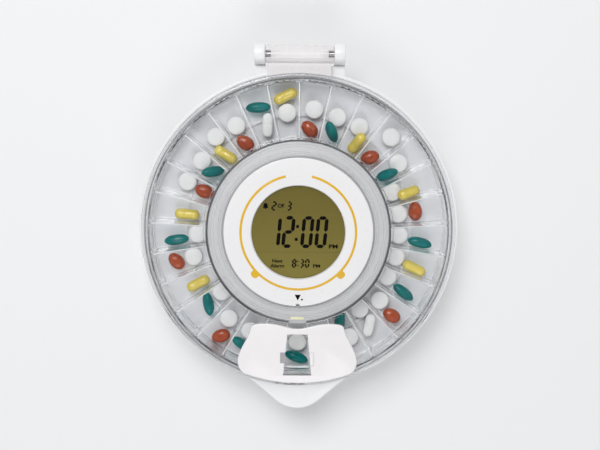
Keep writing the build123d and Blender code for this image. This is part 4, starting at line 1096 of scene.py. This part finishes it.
def makeLid():
    radius, top, under, low = lid["radius"], lid["top"], lid["under"], lid["skirtLow"]
    inner, opening = radius - lid["wall"], lid["opening"]
    gap, *reach = lid["lipBreak"]
    lipOut, lipTop = lid["lip"]
    profile = roundCorners(
        [(radius, low), (radius, top), (lipOut, top), (lipOut, lipTop), (opening, lipTop), (opening, under),
         (inner, under), (inner, low)], [0.35, lid["edge"], 0.25, 0.35, 0.35, 0.35, 0.8, 0.35], 6)
    cuts = [slantForm(lid["window"], 0, under - 2, top + 2),
            prism(rect(-gap, gap, *reach), top - 0.001, lipTop + 1)]
    newPiece("lidShell", carved(lathe(profile, circle(288)), cuts), "lid", "lidClear",
             ["lid_top", "lid_skirt"], 32)
    gap = math.degrees(math.asin((gap + 0.3) / lid["bead"][0]))
    angles = [-90 + gap + (360 - 2 * gap) * i / 280 for i in range(281)]
    loops = [[(*polar(a, r), z) for r, z in disc(*lid["bead"], 10)] for a in angles]
    # dark bead in the gap round the opening: painted shade
    newPiece("lipGapShade", skin(loops), "lid", "gapShadeGrey")
    # grey line in the lid's inner corner: painted shade
    newPiece("cornerShadeLine", lathe(disc(*lid["cornerShadeLine"], 8), circle(240)), "lid", "cornerShadeGrey")


makeLid()
print("lid done")

# white plate with the dose window
plate = {
    "low": 49.4,
    "top": 51.2,
    "edge": 0.8,
    "window": ((7.1, -71.3), (9.9, -100.8)),
    "frame": 1.0,
    "frameLow": 47.2,
    "notch": (-12.1, 12.1, -93.8, -84.2),
    "notchFloor": 50.2,
    # grey slab on the notch floor: painted shade in the notch
    "notchShadeArea": (-11.9, -8.3, -92.2, -84.4),
    "clip": (8.4, 11.3, -93.5, -84.5),
}


def makePlate():
    low, top, seat = plate["low"], plate["top"], plate["notchFloor"]
    window = slantForm(plate["window"], 0, low - 4, top + 1)
    sheet = slab(topOutline("window_plate", top), low, top, plate["edge"], 0)
    notch = prism(rect(*plate["notch"]), seat, top + 1)
    newPiece("windowPlate", carved(sheet, [window, notch]), "lid", "plateWhite", ["window_plate"], 36)
    # the window's inside walls and the notch floor are grey: painted shade
    frameWall = slantForm(plate["window"], plate["frame"], plate["frameLow"], low + 0.3)
    for name, shape, finish in (
            ("windowFrame", frameWall, "shadeGrey"),
            ("windowClip", roundedBox(*plate["clip"], seat - 0.1, top + 0.15, 0.4, 0.25), "dialWhite"),
            ("notchShade", roundedBox(*plate["notchShadeArea"], seat - 0.1, seat + 0.25, 0.3, 0.1), "shadeGrey")):
        newPiece(name, carved(shape, [window]), "lid", finish)


makePlate()
print("window plate done")

# pills, laid where the CAD pills lie
pill = {
    "seam": 0.12,
    "seamSink": 0.1,
    "score": 0.35,
    "scoreWidth": 0.4,
    "band": 0.52,           # a tablet's band over its thickness
    "narrower": 0.965,      # the inner half of a capsule over the outer one
    "step": 0.16,           # where the outer half ends, over half the length
    "point": (2.5, 0.58),   # how a long soft capsule draws to its ends
}


# separate bodies of a CAD node: where each lies, as a matrix with its longest axis first, and its sizes
def pillPlaces(node):
    mesh = frame["nodes"][node].data
    spots = np.array([tuple(v.co) for v in mesh.vertices]) / mm
    keys = {}
    alias = [keys.setdefault(tuple(np.round(p, 3)), i) for i, p in enumerate(spots)]
    parent = list(range(len(spots)))

    def root(i):
        while parent[i] != i:
            parent[i] = parent[parent[i]]
            i = parent[i]
        return i

    for face in mesh.polygons:
        first = root(alias[face.vertices[0]])
        for i in face.vertices[1:]:
            parent[root(alias[i])] = first
    groups = {}
    for i in set(alias):
        groups.setdefault(root(i), []).append(spots[i])
    places = []
    for points in map(np.array, groups.values()):
        middle = (points.max(0) + points.min(0)) / 2
        values, axes = np.linalg.eigh(np.cov((points - middle).T))
        axes = axes[:, np.argsort(-values)]
        if axes[2, 2] < 0:
            axes[:, 2] *= -1
        axes[:, 1] = np.cross(axes[:, 2], axes[:, 0])
        along = (points - middle) @ axes
        middle = middle + axes @ ((along.max(0) + along.min(0)) / 2)
        turn = Matrix([list(row) for row in axes]).to_4x4()
        places.append((Matrix.Translation(middle) @ turn, along.max(0) - along.min(0)))
    return places


# rows with their mirror images below
def mirrored(rows):
    return rows + [(a, -b) for a, b in reversed(rows)]


def tabletForm(size):
    radius, half = max(size[0], size[1]) / 2, size[2] / 2
    band = half * pill["band"]
    rows = [(radius * 0.2, half), (radius * 0.45, half * 0.975), (radius * 0.68, half * 0.90),
            (radius * 0.85, half * 0.78), (radius * 0.93, band + half * 0.14),
            (radius * 0.985, band + half * 0.05), (radius, band - half * 0.06)]
    return skin([[(*polar(a, r), z) for a in circle(48)] for r, z in mirrored(rows)])


# two halves of a hard capsule, the wider one pushed over the narrower
def capsuleForm(size):
    half, radius = size[0] / 2, (size[1] + size[2]) / 4
    narrow, step = radius * pill["narrower"], half * pill["step"]
    turns = [math.pi / 2 * i / 9 for i in range(10)]
    profile = [(-half + narrow * (1 - math.cos(a)), max(narrow * math.sin(a), 0.02)) for a in turns]
    profile += [(step - 0.12, narrow), (step - 0.02, narrow * 0.99), (step, radius * 0.985),
                (step + 0.14, radius), (step + 0.9, radius), (step + 1.1, radius * 0.975), (step + 1.3, radius)]
    profile += [(half - radius * (1 - math.cos(a)), max(radius * math.sin(a), 0.02)) for a in reversed(turns)]
    return turnedAlong(profile, 40)


# pointed soft capsule with a seam along it
def longGelForm(size):
    half, radius = size[0] / 2, (size[1] + size[2]) / 4
    power, blunt = pill["point"]
    loops = []
    for t in [-math.cos(math.pi * i / 36) for i in range(37)]:
        loop = []
        for y, z in [polar(a, max(radius * (1 - abs(t) ** power) ** blunt, 0.02)) for a in circle(40)]:
            r = math.hypot(y, z)
            ridge = pill["seam"] * math.exp(-(math.sin(math.atan2(z, y)) / 0.09) ** 2) * min(1, r / radius)
            scale = (r - pill["seamSink"] + ridge) / r if r > 0.3 else 1
            loop.append((half * t, y * scale, z * scale))
        loops.append(loop)
    return skin(loops)


# egg-shaped soft capsule with a seam round it
def softgelForm(size):
    a, b, c = size[0] / 2, size[1] / 2, size[2] / 2
    loops = []
    upper = [0, 2, 4, 9, 17, 27, 38, 50, 62, 75, 88]
    for tilt in [-t for t in reversed(upper[1:])] + upper:
        turn = math.radians(tilt)
        ring = math.cos(turn) ** 0.82
        grow = pill["seam"] * math.exp(-(tilt / 2.2) ** 2) - pill["seamSink"]
        high = c * math.copysign(abs(math.sin(turn)) ** 0.9, tilt)
        loops.append([((a * ring + grow) * x, (b * ring + grow) * y * (1 - 0.06 * x), high)
                      for x, y in [polar(angle, 1) for angle in circle(56)]])
    return skin(loops)


# long tablet with a score line across its top face
def capletForm(size):
    half, radius, high = size[0] / 2, size[1] / 2, size[2] / 2
    straight = half - radius
    stations = [1, 0.75, 0.5, 0.3, 0.12, 0.05, 0, -0.05, -0.12, -0.3, -0.5, -0.75]      # closer at the score

    def outline(r):
        loop = []
        for way in (1, -1):
            loop += [(-straight * way * s, -way * r) for s in stations]
            loop += [(straight * way + x, y) for x, y in [polar(180 * i / 14 - way * 90, r) for i in range(14)]]
        return loop

    rows = [(radius * 0.8, 1.0), (radius * 0.55, 0.98), (radius * 0.3, 0.9), (radius * 0.13, 0.76),
            (radius * 0.03, 0.55), (0, 0.35)]
    loops = []
    for shrink, share in mirrored(rows):
        deep = pill["score"] if share > 0.6 else 0
        loops.append([(x, y, high * share - deep * math.exp(-(x / pill["scoreWidth"]) ** 2))
                      for x, y in outline(radius - shrink)])
    return skin(loops)


def makePills():
    for node, name, form, finish in (
            ("pill_tablets", "whiteTablets", tabletForm, "tabletPowder"),
            ("pill_caplets", "whiteCaplets", capletForm, "tabletPowder"),
            ("pill_teal_capsules", "tealCapsules", longGelForm, "tealGel"),
            ("pill_yellow_capsules", "yellowCapsules", capsuleForm, "yellowGel"),
            ("pill_softgels", "orangeSoftgels", softgelForm, "orangeGel")):
        shape, places = Shape(), pillPlaces(node)
        for place, size in places:
            shape.add(form(size), place)
        newPiece(name, shape, frame["nodes"][node]["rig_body"], finish, [node], 50)
        print(name, len(places))


makePills()

# finishes of the pieces that keep their CAD shape
carried = {
    "whitePlastic": "bottom_cover battery_door",
    "innerWhite": "inner_deck deck_screws hub_housing",
    "blackPlastic": "lcd_carrier board_parts buzzer index_switch battery_box button_switches",
    "greyPlastic": "set_button_1 set_button_2 set_button_3 set_button_4",
    "softRubber": "rubber_feet",
    "boardGreen": "main_board button_board",
    "acetal": "drive_gear",
    "brightSteel": "hinge_pins cover_screws tilt_switch motor_bracket gear_motor drive_shaft lock_cam cam_screw",
    "nickelPlate": "lock_barrel battery_contacts",
    "dullBrass": "lock_core",
    "cellJacket": "battery_cells",
    "lensClear": "lcd_lens",
    "gearClear": "tray_ring_gear",
    "lidClear": "lid_latch",
}
finishOf = {node: finish for finish, nodes in carried.items() for node in nodes.split()}
for node, part in frame["nodes"].items():
    if node in finishOf:
        for place in part.material_slots:
            place.material = finishes[finishOf[node]]
        if not part.material_slots:
            part.data.materials.append(finishes[finishOf[node]])
    elif not part.hide_render:
        print("no finish for", node)
print("carried pieces finished")

# floor, lamps and world
stage = {
    "floorHalf": 1.6,
    "floorSteps": 12,
    "floorColour": (0.85, 0.85, 0.85),
    "key": {"place": (-0.30, 0.95, 1.60), "aim": (0, 0, 0.03), "size": 0.9, "power": 18.0},
    "front": {"place": (0.10, -1.25, 1.45), "aim": (0, 0, 0.03), "size": 1.0, "power": 7.5},
    "sides": (0.97, 0.98, 1.0),
    "overhead": (0.22, 0.22, 0.23),
    "overheadFrom": 0.80,   # sine of the elevation where the dark overhead starts
    "overheadFull": 0.92,
    "world": 0.62,
}


def makeFloor():
    half, steps, colour = stage["floorHalf"], stage["floorSteps"], stage["floorColour"]
    line = [half * (2 * i / steps - 1) for i in range(steps + 1)]
    spots = [(x, y, 0) for y in line for x in line]
    faces = [(k, k + 1, k + steps + 2, k + steps + 1)
             for k in [j * (steps + 1) + i for j in range(steps) for i in range(steps)]]
    mesh = bpy.data.meshes.new("floorPaper")
    mesh.from_pydata(spots, [], faces)
    moulded("floorPaper", None, colour, tuple(c * 0.995 for c in colour), 0.85, mottle=3, bump=0.02)
    mesh.materials.append(finishes["floorPaper"])
    newObject("floorPaper", mesh)


def makeLamp(name, look):
    data = bpy.data.lights.new(name, "AREA")
    data.shape = "SQUARE"
    data.size = look["size"]
    data.energy = look["power"]
    lamp = newObject(name, data)
    lamp.location = look["place"]
    lamp.rotation_euler = (Vector(look["place"]) - Vector(look["aim"])).to_track_quat("Z", "Y").to_euler()


# an even studio round the object, darker overhead
def makeWorld():
    world = bpy.data.worlds.new("studio")
    bpy.context.scene.world = world
    world.use_nodes = True
    tree = world.node_tree
    tree.nodes.clear()
    place = nodeOf(tree, "ShaderNodeTexCoord", -700, 0, {})
    parts = nodeOf(tree, "ShaderNodeSeparateXYZ", -450, 0, {0: place.outputs["Generated"]})
    rise = nodeOf(tree, "ShaderNodeMapRange", -220, 0,
                  {"From Min": stage["overheadFrom"], "From Max": stage["overheadFull"],
                   "Value": parts.outputs["Z"]}, interpolation_type="SMOOTHSTEP")
    mix = nodeOf(tree, "ShaderNodeMix", 0, 0, {}, data_type="RGBA")
    setSockets(mix, {0: rise.outputs["Result"], 6: (*stage["sides"], 1), 7: (*stage["overhead"], 1)})
    glow = nodeOf(tree, "ShaderNodeBackground", 250, 0, {"Strength": stage["world"], "Color": mix.outputs[2]})
    nodeOf(tree, "ShaderNodeOutputWorld", 500, 0, {"Surface": glow.outputs["Background"]})


makeFloor()
makeLamp("keyLamp", stage["key"])
makeLamp("frontLamp", stage["front"])
makeWorld()

camera = {
    "place": (0.0004, 0.0919, 0.6996),
    "tilt": -7.586,
    "roll": 0.49,
    "lens": 57.3,
}
view = bpy.data.cameras.new("viewCamera")
view.lens = camera["lens"]
view.sensor_width = 36.0
eye = newObject("viewCamera", view)
eye.location = camera["place"]
eye.rotation_euler = (math.radians(camera["tilt"]), 0, math.radians(camera["roll"]))
bpy.context.scene.camera = eye
bpy.context.scene.view_settings.view_transform = "Standard"
print("stage ready")
